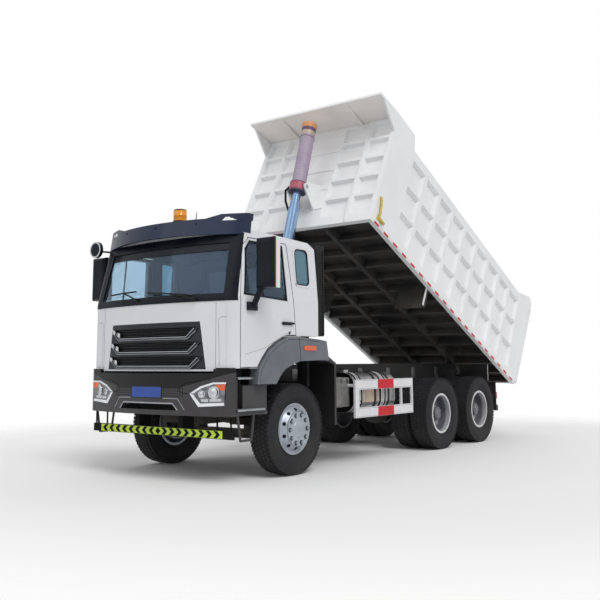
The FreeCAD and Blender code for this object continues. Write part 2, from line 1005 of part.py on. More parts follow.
def bed_floor():
    """Floor plate on two longitudinals and cross ribs, with the hinge ears and hanging guards."""
    half = bed_half_width - bed_wall - seat_gap
    front = bed_front_y + bed_wall + seat_gap
    low = bed_bottom_z + bed_clearance
    plate = block(-half, half, front, bed_rear_y, bed_floor_z - floor_plate, bed_floor_z)
    pieces = [plate]
    for side in (-1, 1):
        x = sorted((side * (rail_outer_x - longitudinal_width), side * rail_outer_x))
        pieces.append(block(x[0], x[1], front, bed_rear_y, low, bed_floor_z - floor_plate))
    pitch = (bed_rear_y - front - bed_rib_width) / (bed_rib_count - 1)
    for index in range(bed_rib_count):
        y = front + index * pitch
        pieces.append(
            block(-half, half, y, y + bed_rib_width, bed_floor_z - floor_plate - bed_rib_depth, bed_floor_z - 5)
        )
    inner = rail_outer_x - subframe_width - 5
    for side in (-1, 1):
        x = sorted((side * inner, side * (inner - hinge_ear_thickness)))
        hub = rod(V(x[0], hinge_y, hinge_z), V(x[1], hinge_y, hinge_z), hinge_ear_radius)
        ear = side_prism(
            [
                (hinge_y - 150, low + 20),
                (hinge_y + 150, low + 20),
                (hinge_y + hinge_ear_radius, hinge_z),
                (hinge_y - hinge_ear_radius, hinge_z),
            ],
            x[0],
            x[1],
        )
        outer = sorted((side * (inner - hinge_ear_thickness), side * rail_outer_x))
        pin = rod(V(outer[0], hinge_y, hinge_z), V(outer[1], hinge_y, hinge_z), hinge_pin_radius)
        pieces += [hub, ear, pin]
    tie = block(-inner, inner, hinge_y - 60, hinge_y + 60, low, bed_floor_z - floor_plate)
    pieces.append(tie)
    rib_low = bed_floor_z - floor_plate - bed_rib_depth
    y = front + guard_rib * pitch + bed_rib_width / 2
    guard = block(
        guard_inner_x, guard_outer_x, y, y + guard_thickness, bed_bottom_z - guard_drop, rib_low - seat_gap
    )
    return Part.makeCompound([fused(pieces), guard, mirrored(guard)])


def tailgate():
    """Rear door of the bed, hung on two arms from pins above its top edge."""
    pivot = tailgate_pivot()
    half = bed_half_width
    gap = tailgate_gap
    thick = tailgate_thickness
    low = bed_bottom_z + 60
    high = bed_bottom_z + side_height - 10
    outline = [
        (rear_edge_y(low) + gap, low),
        (rear_edge_y(high) + gap, high),
        (rear_edge_y(high) + gap + thick, high),
        (rear_edge_y(low) + gap + thick, low),
    ]
    door = side_prism(outline, -half, half)
    rows = 4
    columns = 4
    row = (high - low - 60) / rows
    column = (2 * half - 60) / columns
    pockets = []
    for level in range(rows):
        for place in range(columns):
            z0 = low + 30 + level * row + 35
            z1 = z0 + row - 70
            x0 = -half + 30 + place * column + 40
            x1 = x0 + column - 80
            ring_out = [V(x, rear_edge_y(z) + gap + thick + 1, z) for x, z in ((x0, z0), (x1, z0), (x1, z1), (x0, z1))]
            bevel = panel_bevel
            ring_in = [
                V(x, rear_edge_y(z) + gap + bed_skin, z)
                for x, z in ((x0 + bevel, z0 + bevel), (x1 - bevel, z0 + bevel),
                             (x1 - bevel, z1 - bevel), (x0 + bevel, z1 - bevel))
            ]
            pockets.append(frustum(ring_out, ring_in))
    inner = half - bed_wall - 8
    clear = rod(V(inner, pivot.y, pivot.z), V(half + 1, pivot.y, pivot.z), ear_radius + 8)
    door = door.cut(Part.makeCompound(pockets + [clear, mirrored(clear)]))
    pieces = [door]
    for side in (-1, 1):
        x = sorted((side * (inner - 40), side * inner))
        arm = side_prism(
            [
                (pivot.y - 50, pivot.z - 40),
                (pivot.y - 30, pivot.z + 50),
                (pivot.y + 60, pivot.z + 50),
                (rear_edge_y(high) + gap + thick, high - 40),
                (rear_edge_y(high) + gap, high - 40),
            ],
            x[0],
            x[1],
        )
        outer = sorted((side * (inner - 40), side * half))
        pin = rod(V(outer[0], pivot.y, pivot.z), V(outer[1], pivot.y, pivot.z), 25)
        pieces += [arm, pin]
    return fused(pieces)


# Cab


def cab_plan(inset):
    """Plan outline with a bowed front and rounded front corners, as a wire at z = 0."""
    half = cab_half_width - inset
    front = cab_front_y + inset
    corner_x = cab_corner_x - inset / 2
    corner_y = cab_front_y + cab_bow + inset
    side_y = cab_corner_y + inset / 3
    rear = cab_rear_y - inset
    bow = Part.Arc(V(-corner_x, corner_y, 0), V(0, front, 0), V(corner_x, corner_y, 0)).toShape()
    edges = [bow]
    mid_x = corner_x + (half - corner_x) * 0.72
    mid_y = corner_y + (side_y - corner_y) * 0.30
    for side in (-1, 1):
        edges.append(
            Part.Arc(V(side * corner_x, corner_y, 0), V(side * mid_x, mid_y, 0), V(side * half, side_y, 0)).toShape()
        )
        edges.append(Part.makeLine(V(side * half, side_y, 0), V(side * half, rear, 0)))
    edges.append(Part.makeLine(V(-half, rear, 0), V(half, rear, 0)))
    return Part.Wire(Part.__sortEdges__(edges))


def cab_side_outline(inset):
    """Side view of the roof, the rear wall and the floor line; the front stays open to the bow."""
    front = cab_front_y - 100
    brow_y = cab_front_y + screen_slope * (screen_top_z - screen_base_z)
    low = cab_bottom_z + inset
    rear_low = cab_rear_bottom_z + inset
    return [
        (front, low),
        (front, screen_top_z - 60 - inset),
        (brow_y + 130, cab_roof_z - inset),
        (cab_rear_y - 90 - inset, cab_roof_rear_z - inset),
        (cab_rear_y - inset, cab_roof_rear_z - 70 - inset),
        (cab_rear_y - inset, rear_low),
        (-288, rear_low),
        (-463, rear_low - 60),
        (-645, rear_low - 165),
        (-752, rear_low - 278),
        (-822, low),
    ]


def cab_front_outline(inset):
    half = cab_half_width - inset
    roof = cab_roof_half_width - inset
    top = cab_roof_z + 10 - inset
    corner = roof_corner
    right = [
        (half, cab_bottom_z - 50),
        (half, cab_belt_z),
        (roof + 25, top - corner - 40),
        (roof - 25, top - 35),
        (roof - corner, top),
    ]
    return right + [(-x, z) for x, z in reversed(right)]


def cab_core(inset):
    """The cab's walls with no floor: upright to the windscreen, then raked, and pulled in by inset."""
    plan = Part.Face(cab_plan(inset))
    lower = plan.extrude(V(0, 0, screen_base_z))
    rise = cab_roof_z + 100 - screen_base_z
    plan.translate(V(0, 0, screen_base_z))
    upper = plan.extrude(V(0, screen_slope * rise, rise))
    return lower.fuse(upper).common(front_prism(cab_front_outline(inset), -1600, 600))


def cab_form(inset):
    """The cab's outer surface, pulled in all round by inset."""
    return side_prism(cab_side_outline(inset), -1500, 1500).common(cab_core(inset)).removeSplitter()


def tunnel():
    return block(
        -tunnel_half_width, tunnel_half_width, cab_front_y - 100, cab_rear_y + 100, 1000, tunnel_top_z
    )


def door_outline(gap):
    return [
        (door_front_y + gap, cab_bottom_z + 5 + gap),
        (-820 - gap / 2, cab_bottom_z + 5 + gap),
        (-748 - gap / 2, cab_rear_bottom_z - 273 + gap),
        (-641 - gap / 2, cab_rear_bottom_z - 160 + gap),
        (-459 - gap / 2, cab_rear_bottom_z - 55 + gap),
        (-284 - gap / 2, cab_rear_bottom_z + gap),
        (door_rear_y - gap, cab_rear_bottom_z + gap),
        (door_rear_top_y - gap, door_top_z - gap),
        (-930 + gap, door_top_z - gap),
        (-1015 + gap, 2640),
        (door_front_y + gap, 2080),
    ]


def hinge_well():
    """Room in the floor for the door's inner front corner as it turns."""
    well = rod(
        V(door_hinge_x, door_hinge_y, cab_bottom_z - 1), V(door_hinge_x, door_hinge_y, cab_bottom_z + cab_wall + 5),
        door_well_radius
    )
    return well.common(block(0, 1400, door_front_y, door_front_y + 200, cab_bottom_z - 1, cab_bottom_z + 100))


def door_window(inset):
    return [
        (-1030 + inset, 2100 + inset),
        (-300 - inset, 2065 + inset),
        (-335 - inset, 2690 - inset),
        (-905 + inset, 2690 - inset),
        (-970 + inset, 2600),
    ]


def quarter_window(inset):
    return [
        (-55 + inset, 2250 + inset),
        (185 - inset, 2250 + inset),
        (165 - inset, 2710 - inset),
        (-95 + inset, 2710 - inset),
    ]


def screen_window(inset):
    return [
        (-screen_half_width + inset, cab_belt_z + 10 + inset),
        (screen_half_width - inset, cab_belt_z + 10 + inset),
        (screen_top_half_width - inset, screen_top_z - 40 - inset),
        (-screen_top_half_width + inset, screen_top_z - 40 - inset),
    ]


def rear_window(inset):
    return [
        (-rear_window_half_width + inset, rear_window_low_z + inset),
        (rear_window_half_width - inset, rear_window_low_z + inset),
        (rear_window_half_width - inset, rear_window_top_z - inset),
        (-rear_window_half_width + inset, rear_window_top_z - inset),
    ]


def cab_nodes():
    outer = cab_form(0)
    inner = cab_form(cab_wall)
    deck = tunnel()
    wider = block(
        -tunnel_half_width - cab_wall, tunnel_half_width + cab_wall, cab_front_y, cab_rear_y,
        1000, tunnel_top_z + cab_wall
    )
    room = inner.cut(wider)
    walls = outer.cut(deck).cut(room)
    door_cut = side_prism(door_outline(0), door_depth_x, 1400).cut(cab_core(cab_wall + door_floor_gap))
    screen_cut = front_prism(screen_window(0), screen_front_y, screen_rear_y)
    rear_cut = front_prism(rear_window(0), 100, 500)
    quarter_cut = side_prism(quarter_window(0), 900, 1400)
    above_lid = block(-1400, 1400, -1400, -1000, lid_top_z + seat_gap, lid_top_z + 100)
    lid_cut = lid_zone(outer, lid_thickness + lid_gap, lid_gap).cut(above_lid)
    under_lid = block(-lid_half_width - lid_gap, lid_half_width + lid_gap, -1400, -1150, 1200, lid_bottom_z)
    over_bumper = block(-1400, 1400, -1400, bumper_side_y + 15, 900, bumper_top_z + 10)
    cuts = [screen_cut, rear_cut, lid_cut, under_lid, over_bumper]
    for solid in (door_cut, quarter_cut, hinge_well()):
        cuts += [solid, mirrored(solid)]
    shell = walls.cut(Part.makeCompound(cuts))
    door_space = side_prism(door_outline(door_gap), door_depth_x, 1400)
    inner_space = side_prism(door_outline(door_inner_gap), door_depth_x, 1400)
    rebate = cab_form(door_skin).common(side_prism(door_outline(0), door_depth_x, 1400).cut(inner_space))
    window = side_prism(door_window(0), 900, 1400)
    door = outer.common(door_space).cut(cab_core(cab_wall)).cut(rebate).cut(window)
    pane = cab_form(glass_depth).cut(cab_form(glass_depth + glass_thickness))
    door_glass = pane.common(side_prism(door_window(glass_gap), 900, 1400))
    quarter = pane.common(side_prism(quarter_window(glass_gap), 900, 1400))
    screen = pane.common(front_prism(screen_window(glass_gap), screen_front_y, screen_rear_y))
    rear = pane.common(front_prism(rear_window(glass_gap), 100, 500))
    front = cab_core(0)
    return {
        "cab_shell": shell,
        "door_left": door,
        "door_right": mirrored(door),
        "door_glass_left": door_glass,
        "door_glass_right": mirrored(door_glass),
        "cab_glass": Part.makeCompound([screen, rear, quarter, mirrored(quarter)]),
        "front_lid": lid_panel(front),
        "grille": grille(front),
    }


def grille_space(gap, y1):
    outline = [
        (-grille_half_width + gap, grille_bottom_z + gap),
        (grille_half_width - gap, grille_bottom_z + gap),
        (grille_top_half_width - gap, grille_top_z - gap),
        (-grille_top_half_width + gap, grille_top_z - gap),
    ]
    return front_prism(outline, -1450, y1)


def lid_zone(outer, depth, grow):
    """Front skin behind the lid's outline, to a given depth, grown by grow at its edges."""
    half = lid_half_width + grow
    slab = block(-half, half, -1400, -1000, lid_bottom_z - grow, lid_top_z + grow)
    return outer.common(slab).cut(cab_core(depth))


def lid_panel(outer):
    return lid_zone(outer, lid_thickness, 0).cut(grille_space(0, -1000))


def grille_half_at(z):
    share = (z - grille_bottom_z) / (grille_top_z - grille_bottom_z)
    return grille_half_width + (grille_top_half_width - grille_half_width) * share


def grille(outer):
    """Dark frame in the front lid with three raised bars, each turned up at both ends."""
    shell = outer.common(grille_space(seat_gap, -1000))
    back = shell.cut(cab_core(lid_thickness - 10))
    row = (grille_top_z - grille_bottom_z - grille_border) / grille_bars
    slots = []
    bars = []
    for index in range(grille_bars):
        low = grille_bottom_z + grille_border + index * row
        high = low + row - grille_bar_height
        half = grille_half_at(high) - grille_border
        turn = grille_bar_turn
        slots.append(front_prism([(-half + turn, low), (half - turn, low), (half, high), (-half, high)], -1450, -1000))
        rim = grille_bar_height * 0.55
        upper = [(half, high), (half - turn, low), (-half + turn, low), (-half, high)]
        lower = [(-half - rim * 0.6, high - rim * 0.4), (-half + turn - rim * 0.6, low - rim),
                 (half - turn + rim * 0.6, low - rim), (half + rim * 0.6, high - rim * 0.4)]
        bars.append(front_prism(upper + lower, -1450, -1000))
    raised = cab_core(-grille_bar_lift).cut(cab_core(lid_thickness - 15)).common(Part.makeCompound(bars))
    body = back.cut(Part.makeCompound(slots))
    return fused([body, raised])


def front_fender():
    """Arch over the front wheel with a mudguard behind it."""
    x0 = fender_outer_x - fender_width
    outline = [
        (-843, fender_low_z),
        (-811, 1264),
        (-743, 1352),
        (-638, 1463),
        (-457, 1567),
        (-288, 1625),
        (-20, 1628),
        (cab_rear_y, 1605),
        (482, 1588),
        (534, 1355),
        (300, 1352),
        (-57, 1342),
        (-193, 1307),
        (-344, 1251),
        (-437, 1173),
        (-509, fender_low_z),
    ]
    arch = side_prism(outline, x0, fender_outer_x)
    under = side_prism(
        [
            (-808, fender_low_z - 5), (-780, 1250), (-716, 1332), (-614, 1438), (-442, 1537), (-278, 1592),
            (-20, 1596), (cab_rear_y, 1574), (458, 1558), (505, 1345), (300, 1340), (-60, 1330),
            (-198, 1295), (-355, 1238), (-452, 1158), (-520, fender_low_z - 5),
        ],
        x0 - 1,
        fender_outer_x - 25,
    )
    arch = arch.cut(under)
    guard = block(
        rail_outer_x + 200, fender_outer_x - 40, mudguard_y, mudguard_y + mudguard_thickness,
        mudguard_bottom_z, mudguard_top_z
    )
    roof = side_prism(
        [
            (495, 1440),
            (mudguard_y + mudguard_thickness, mudguard_top_z),
            (mudguard_y + mudguard_thickness, mudguard_top_z - 30),
            (500, 1356),
        ],
        rail_outer_x + 200,
        fender_outer_x - 40,
    )
    arm = rod(V(rail_outer_x + seat_gap, mudguard_y + 20, 1065), V(rail_outer_x + 210, mudguard_y + 20, 1065), 18)
    return fused([arch, guard, roof, arm])


def visor_plan(z, half, front, end, rear):
    """Crescent outline of the visor at one height, as a wire."""
    bow = Part.Arc(V(-half, end, z), V(0, front, z), V(half, end, z)).toShape()
    back = Part.makeLine(V(-half, rear, z), V(half, rear, z))
    sides = [Part.makeLine(V(x, end, z), V(x, rear, z)) for x in (-half, half)]
    return Part.Wire(Part.__sortEdges__([bow, sides[1], back, sides[0]]))


def visor_form(inset, bottom, top):
    """The visor's outer surface, leaning back and flaring out towards its top."""
    half = visor_half_width - inset
    rear = cab_front_y + 480
    wires = [
        visor_plan(bottom, half, visor_front_y + inset, visor_end_y + inset, rear),
        visor_plan(top, half + visor_flare, visor_front_y + visor_lean + inset, visor_end_y + visor_lean + inset, rear),
    ]
    return Part.makeLoft(wires, True, True)


def visor():
    """Hood over the windscreen: a bowed band with a raised wing at each end, on three feet."""
    top = visor_bottom_z + visor_height
    wing = top + visor_wing
    outer = visor_form(0, visor_bottom_z, wing)
    inner = visor_form(visor_wall, visor_bottom_z - 1, top - visor_wall)
    saddle = front_prism(
        [
            (-0.78 * visor_half_width, wing + 1),
            (-0.62 * visor_half_width, top),
            (0.62 * visor_half_width, top),
            (0.78 * visor_half_width, wing + 1),
        ],
        visor_front_y - 100,
        cab_front_y + 500,
    )
    arch = front_prism(
        [
            (-0.8 * visor_half_width, visor_bottom_z - 1),
            (-0.4 * visor_half_width, visor_bottom_z + visor_arch),
            (0.4 * visor_half_width, visor_bottom_z + visor_arch),
            (0.8 * visor_half_width, visor_bottom_z - 1),
        ],
        visor_front_y - 100,
        cab_front_y + 500,
    )
    hood = outer.cut(inner).cut(arch).cut(saddle)
    behind = block(-1400, 1400, visor_end_y + 140, cab_front_y + 500, visor_bottom_z - 10, top - visor_wall - 1)
    pieces = [hood.cut(behind)]
    for x in (-0.6 * visor_half_width, 0, 0.6 * visor_half_width):
        pieces.append(block(x - 30, x + 30, -960, -860, cab_roof_z - 60, top - visor_wall + 5))
    return fused(pieces).cut(cab_form(-seat_gap))


def beacon():
    foot = cab_roof_z - 30
    lens_z = cab_roof_z + beacon_stand
    centre = [V(beacon_x, beacon_y, z) for z in (foot, foot + 45, lens_z - 20, lens_z, lens_z + beacon_height)]
    base = rod(centre[0], centre[1], beacon_radius).cut(cab_form(-seat_gap))
    stem = rod(centre[1], centre[2], beacon_radius / 2)
    flange = rod(centre[2], centre[3], beacon_radius + 8)
    lens = rod(centre[3], centre[4], beacon_radius)
    lens = lens.makeFillet(18, [edge for edge in lens.Edges if edge.BoundBox.ZMin > centre[4].z - 1])
    return fused([base, stem, flange, lens])


def cab_seats():
    """Two seats on their bases."""
    pieces = []
    for side in (-1, 1):
        x = side * seat_x
        floor = cab_rear_bottom_z + cab_wall + seat_gap
        base = block(x - 180, x + 180, -120, 130, floor, floor + 150)
        cushion = block(x - 250, x + 250, -420, 110, floor + 150, floor + 280)
        back = side_prism(
            [(-20, floor + 260), (110, floor + 260), (200, floor + 920), (95, floor + 920)],
            x - 240,
            x + 240,
        )
        pieces.append(fused([base, cushion, back]))
    return pieces


def dashboard():
    """Dashboard with the steering column and wheel on its left half."""
    half = cab_half_width - cab_wall - 60
    body = side_prism(
        [(-1160, 1560), (-1160, 1990), (-1080, 2030), (-860, 1960), (-800, 1850), (-880, 1600)], -half, half
    )
    space = cab_form(cab_wall + seat_gap)
    body = body.common(space)
    tilt = math.radians(45)
    centre = V(seat_x, -640, 1960)
    axis = V(0, -math.sin(tilt), -math.cos(tilt))
    ring = Part.makeTorus(225, 17, centre, axis)
    column = rod(centre + axis * 20, centre + axis * 350, 30)
    hub = rod(centre - axis * 25, centre + axis * 30, 60)
    across = axis.cross(V(1, 0, 0)).normalize()
    spokes = []
    for turn in (20, 160, 270):
        angle = math.radians(turn)
        tip = centre + V(220 * math.cos(angle), 0, 0) + across * (220 * math.sin(angle))
        spokes.append(rod(centre, tip, 12))
    return fused([body, ring, column, hub] + spokes)


def air_intake():
    """Tall intake duct behind the cab's left side."""
    x0 = cab_half_width - 350
    x1 = cab_half_width - 50
    duct = block(x0, x1, cab_rear_y + 20, 520, cab_rear_bottom_z + 10, 2740)
    head = block(x0 - 60, x1, cab_rear_y + 20, 540, 2740, 2800)
    foot = block(rail_outer_x + seat_gap, x0 + 95, 440, 485, 1030, 1090)
    leg = block(x0, x0 + 95, 440, 485, 1030, cab_rear_bottom_z + 20)
    return fused([duct, head, foot, leg])


def door_mirror():
    """Main mirror housing with rounded corners on its arm, left side."""
    housing = block(mirror_x, mirror_x + mirror_width, mirror_y, mirror_y + mirror_depth, mirror_z, mirror_z + mirror_height)
    housing = housing.makeFillet(55, [edge for edge in housing.Edges if edge.BoundBox.YMax < mirror_y + 1])
    foot_x = cab_half_width + seat_gap
    elbow = V(mirror_x + 60, mirror_y + 60, mirror_z + 20)
    arm = rod(V(foot_x + 36, mirror_y + 30, cab_belt_z - 90), elbow, 34)
    foot = block(foot_x, foot_x + 45, mirror_y - 50, mirror_y + 100, cab_belt_z - 145, cab_belt_z - 50)
    foot = foot.makeFillet(14, [edge for edge in foot.Edges if edge.BoundBox.XMin > foot_x + 44])
    return fused([housing, arm, foot])


def front_mirror():
    """Round wide-angle mirror on an arm from the cab's right front corner, above the door."""
    foot = block(
        -cab_roof_half_width - 35, -cab_roof_half_width + 20, round_mirror_foot_y - 25, round_mirror_foot_y + 25,
        round_mirror_arm_z - 17, round_mirror_arm_z + 17
    )
    front_y = round_mirror_y - round_mirror_depth
    arm = rod(
        V(-cab_roof_half_width - 22, round_mirror_foot_y, round_mirror_arm_z),
        V(-round_mirror_x, round_mirror_y - 10, round_mirror_arm_z + 3), 12
    )
    head = rod(
        V(-round_mirror_x, front_y, round_mirror_z), V(-round_mirror_x, round_mirror_y, round_mirror_z),
        round_mirror_radius
    )
    return fused([foot.cut(cab_form(-seat_gap)), arm, head])


# Front end


def bumper_plan(front, side_y, half, z0, z1):
    """A bowed bar in plan, wrapped round the cab's front corners."""
    bow = cab_bow
    corner = cab_corner_x
    edges = [
        Part.Arc(V(-corner, front + bow, z0), V(0, front, z0), V(corner, front + bow, z0)).toShape(),
        Part.makeLine(V(-half, side_y, z0), V(half, side_y, z0)),
    ]
    for side in (-1, 1):
        mid = V(side * (corner + (half - corner) * 0.72), front + bow + (side_y - front - bow) * 0.30, z0)
        edges.append(Part.Arc(V(side * corner, front + bow, z0), mid, V(side * half, side_y, z0)).toShape())
    wire = Part.Wire(Part.__sortEdges__(edges))
    return Part.Face(wire).extrude(V(0, 0, z1 - z0))


def bumper_form(inset):
    return bumper_plan(
        bumper_front_y + inset, -1000, cab_half_width + 15 - inset, bumper_bottom_z, bumper_top_z
    )


def lamp_outline(inset):
    outer = cab_half_width - lamp_outer_margin
    return [
        (lamp_inner_x + inset, 985),
        (lamp_inner_x + 160, 1075 - inset),
        (lamp_inner_x + 320, 1118 - inset),
        (outer - inset, 1118 - inset),
        (outer - 15 - inset, 860 + inset),
        (lamp_inner_x + 120 + inset, 842 + inset),
    ]


def bumper_nodes():
    whole = bumper_form(0)
    behind = block(-1400, 1400, bumper_side_y, -900, 700, 1300)
    trimmed = whole.cut(behind)
    inner = bumper_plan(
        bumper_front_y + bumper_depth, -1000, cab_half_width - 45, bumper_bottom_z - 1, bumper_top_z - 20
    )
    shell = trimmed.cut(inner)
    half = cab_half_width - notch_margin
    notch = front_prism(
        [
            (-half, bumper_top_z + 1),
            (-half + notch_slope, notch_low_z),
            (half - notch_slope, notch_low_z),
            (half, bumper_top_z + 1),
        ],
        -1500,
        -1000,
    )
    half = cab_half_width - mouth_margin
    mouth = front_prism(
        [(-half, mouth_low_z), (-half + 75, mouth_top_z), (half - 75, mouth_top_z), (half, mouth_low_z)], -1500, -1000
    )
    lamp_cut = front_prism(lamp_outline(0), -1500, -1000)
    shell = shell.cut(Part.makeCompound([notch, mouth, lamp_cut, mirrored(lamp_cut)]))
    ties = []
    for side in (-1, 1):
        x = sorted((side * (rail_outer_x - 60), side * (rail_outer_x - rail_web - seat_gap)))
        ties.append(block(x[0], x[1], bumper_front_y + bumper_depth - 5, rail_front_y + 80, 850, 1050))
    shell = fused([shell] + ties)
    lens = bumper_form(6).cut(bumper_form(6 + lamp_depth)).cut(behind)
    lamp = lens.common(front_prism(lamp_outline(seat_gap), -1500, -1000))
    return {"bumper": shell, "headlamps": both_sides(lamp)}


def underrun():
    """Low bar across the front on two hangers."""
    bar = block(
        -underrun_half_length, underrun_half_length, underrun_y, underrun_y + underrun_thickness,
        underrun_z - underrun_height / 2, underrun_z + underrun_height / 2
    )
    hangers = []
    for side in (-1, 1):
        x = sorted((side * 330, side * 400))
        hangers.append(
            block(x[0], x[1], underrun_y + 5, underrun_y + underrun_thickness + 150,
                  underrun_z + 10, rail_top_z - rail_height - seat_gap)
        )
    return fused([bar] + hangers)


def steps():
    """Two treads and a hanging stirrup ahead of each front wheel."""
    pieces = []
    low = step_middle_z - 40
    box = block(step_inner_x, step_x - 15, step_front_y, step_rear_y, low, step_middle_z)
    tread = block(step_inner_x, step_x + 10, step_front_y, step_rear_y - 60, step_middle_z, step_middle_z + step_plate)
    wall = block(step_inner_x, step_inner_x + 20, step_front_y, step_rear_y, step_middle_z, fender_low_z - 10)
    back = block(
        step_inner_x, step_inner_x + 20, step_front_y, step_upper_rear_y, step_middle_z, cab_bottom_z - 20
    )
    upper = block(step_inner_x, step_x + 10, step_front_y, step_upper_rear_y, step_top_z, step_top_z + 20)
    front = block(step_inner_x, step_x - 10, step_front_y, step_front_y + 15, step_middle_z, step_top_z)
    skirt = block(step_x - 40, step_x - 25, step_front_y + 120, step_rear_y, step_middle_z + 5, fender_low_z - 10)
    pieces += [box, tread, wall, back, upper, front, skirt]
    corners = [
        V(step_x - 30, step_front_y + 40, low + 5),
        V(step_x - 30, step_front_y + 90, stirrup_z),
        V(step_x - 30, stirrup_rear_y, stirrup_z),
        V(step_x - 30, stirrup_rear_y + 40, low + 5),
    ]
    for start, end in zip(corners, corners[1:]):
        pieces.append(rod(start, end, stirrup_radius))
    for corner in corners[1:3]:
        pieces.append(Part.makeSphere(stirrup_radius, corner))
    arm = block(rail_outer_x + seat_gap, step_inner_x + 5, step_front_y + 60, step_front_y + 120, 900, 980)
    pieces.append(arm)
    return both_sides(fused(pieces))


# Side and rear equipment


def tank_section(grow):
    """Rounded-square section of the fuel tank in X and Z, grown outwards by grow."""
    x0 = tank_inner_x - grow
    x1 = tank_outer_x + grow
    z0 = tank_bottom_z - grow
    z1 = tank_top_z + grow
    r = tank_corner + grow
    box = block(x0, x1, tank_front_y, tank_rear_y, z0, z1)
    return box.makeFillet(r, [edge for edge in box.Edges if abs(edge.tangentAt(0).y) > 0.9])


def fuel_tank():
    tank = tank_section(0)
    neck = rod(
        V(tank_outer_x - 200, tank_front_y + 75, tank_top_z - 30),
        V(tank_outer_x - 200, tank_front_y + 75, tank_top_z + 40),
        55,
    )
    return tank.fuse(neck)


def tank_brackets():
    """Angle brackets from the rail and a strap over the tank at each of them."""
    pitch = (tank_rear_y - tank_front_y) / strap_count
    ring = tank_section(seat_gap + strap_thickness).cut(tank_section(seat_gap))
    solids = []
    for index in range(strap_count):
        y = tank_front_y + (index + 0.5) * pitch
        slab = block(0, 2000, y - strap_width / 2, y + strap_width / 2, 0, 2000)
        strap = ring.common(slab)
        low = tank_bottom_z - seat_gap - 1
        arm = block(rail_outer_x + seat_gap, tank_outer_x - 120, y - 30, y + 30, low - 45, low)
        post = block(rail_outer_x + seat_gap, rail_outer_x + 60, y - 30, y + 30, low - 45, rail_top_z - 60)
        solids.append(fused([strap, arm, post]))
    return Part.makeCompound(solids)


def chassis_boxes():
    """Equipment boxes beside the rails: one ahead of the tank, two on the right side."""
    solids = []
    arm_z = 860
    for side, y0, y1, z0, z1, x0, x1 in (
        (1, box_front_y, box_rear_y, box_bottom_z, box_top_z, box_inner_x, box_outer_x),
        (-1, box_front_y, box_front_y + 400, box_bottom_z - 40, box_top_z, box_inner_x, box_outer_x),
        (-1, 1500, 2420, 640, 1120, 540, 1120),
    ):
        x = sorted((side * x0, side * x1))
        body = block(x[0], x[1], y0, y1, z0, z1)
        edges = [edge for edge in body.Edges if abs(edge.tangentAt(0).y) > 0.9]
        body = body.makeFillet(30, edges)
        arms = []
        reach = sorted((side * (rail_outer_x + seat_gap), side * (x0 + 5)))
        for y in (y0 + 60, y1 - 120):
            arms.append(block(reach[0], reach[1], y, y + 60, arm_z, arm_z + 80))
        solids.append(fused([body] + arms))
    return Part.makeCompound(solids)


def side_guards():
    """White frame beside the tank, on two arms from the rail."""
    y0 = guard_front_y
    y1 = guard_rear_y
    x0 = guard_x
    x1 = guard_x + guard_tube
    frame = block(x0, x1, y0, y1, guard_bottom_z, guard_top_z)
    first = block(x0 - 1, x1 + 1, y0 + 95, y1 - 330, guard_bottom_z + guard_rail, guard_top_z - guard_rail)
    second = block(x0 - 1, x1 + 1, y1 - 305, y1 - 30, guard_bottom_z + guard_rail, guard_top_z - guard_rail)
    frame = frame.cut(first).cut(second)
    arms = []
    for y in (y0 + 40, y1 - 70):
        arms.append(rod(V(rail_outer_x + seat_gap, y, 1020), V(x0 + 5, y, 1020), guard_arm_radius))
    return both_sides(fused([frame] + arms))


def rear_guards():
    """Upright splash plates behind the rear wheels, each on an arm from the rail."""
    y = rear_guard_y
    plate = block(guard_inner_x, guard_outer_x, y, y + guard_thickness, rear_guard_bottom_z, rear_guard_top_z)
    arm = block(
        rail_outer_x + seat_gap, guard_inner_x + 60, y + guard_thickness - 1, y + 50,
        rear_guard_bottom_z + 20, rear_guard_bottom_z + 70
    )
    return both_sides(plate.fuse(arm))


def cab_mounts():
    """Front brackets on the rails and a bridge over the engine's rear end that carry the cab."""
    x1 = tunnel_half_width + 110
    front = block(rail_outer_x + seat_gap, x1, -960, -860, rail_top_z - 50, cab_bottom_z - seat_gap)
    top = cab_rear_bottom_z - seat_gap
    beam_z = engine_top_z + 15
    post = block(rail_outer_x - subframe_width, rail_outer_x, 200, 280, rail_top_z + seat_gap, beam_z + 10)
    pad = block(tunnel_half_width + 20, tunnel_half_width + 140, 200, 280, beam_z, top)
    beam = block(-tunnel_half_width - 140, tunnel_half_width + 140, 200, 280, beam_z, beam_z + 75)
    bridge = fused([beam, post, mirrored(post), pad, mirrored(pad)])
    return Part.makeCompound([front, mirrored(front), bridge])


def rear_bar():
    """Rear underrun bar on two hangers from the rail ends, with a lamp plate at each end."""
    size = rear_bar_size
    bar = block(-rear_bar_half_length, rear_bar_half_length, rear_bar_y, rear_bar_y + size * 0.8,
                rear_bar_z - size / 2, rear_bar_z + size / 2)
    pieces = [bar]
    for side in (-1, 1):
        x = sorted((side * (rail_outer_x + seat_gap), side * (rail_outer_x + 25)))
        hanger = side_prism(
            [
                (rail_rear_y - 160, rail_top_z - 40),
                (rail_rear_y, rail_top_z - 40),
                (rear_bar_y + size * 0.8, rear_bar_z + 40),
                (rear_bar_y + size * 0.8, rear_bar_z - 40),
                (rear_bar_y - 40, rear_bar_z - 40),
            ],
            x[0],
            x[1],
        )
        plate_x = sorted((side * (rear_bar_half_length - tail_lamp_width), side * rear_bar_half_length))
        plate = block(plate_x[0], plate_x[1], rear_bar_y, rear_bar_y + 20, rear_bar_z, rear_bar_z + 450)
        pieces += [hanger, plate]
    return fused(pieces)


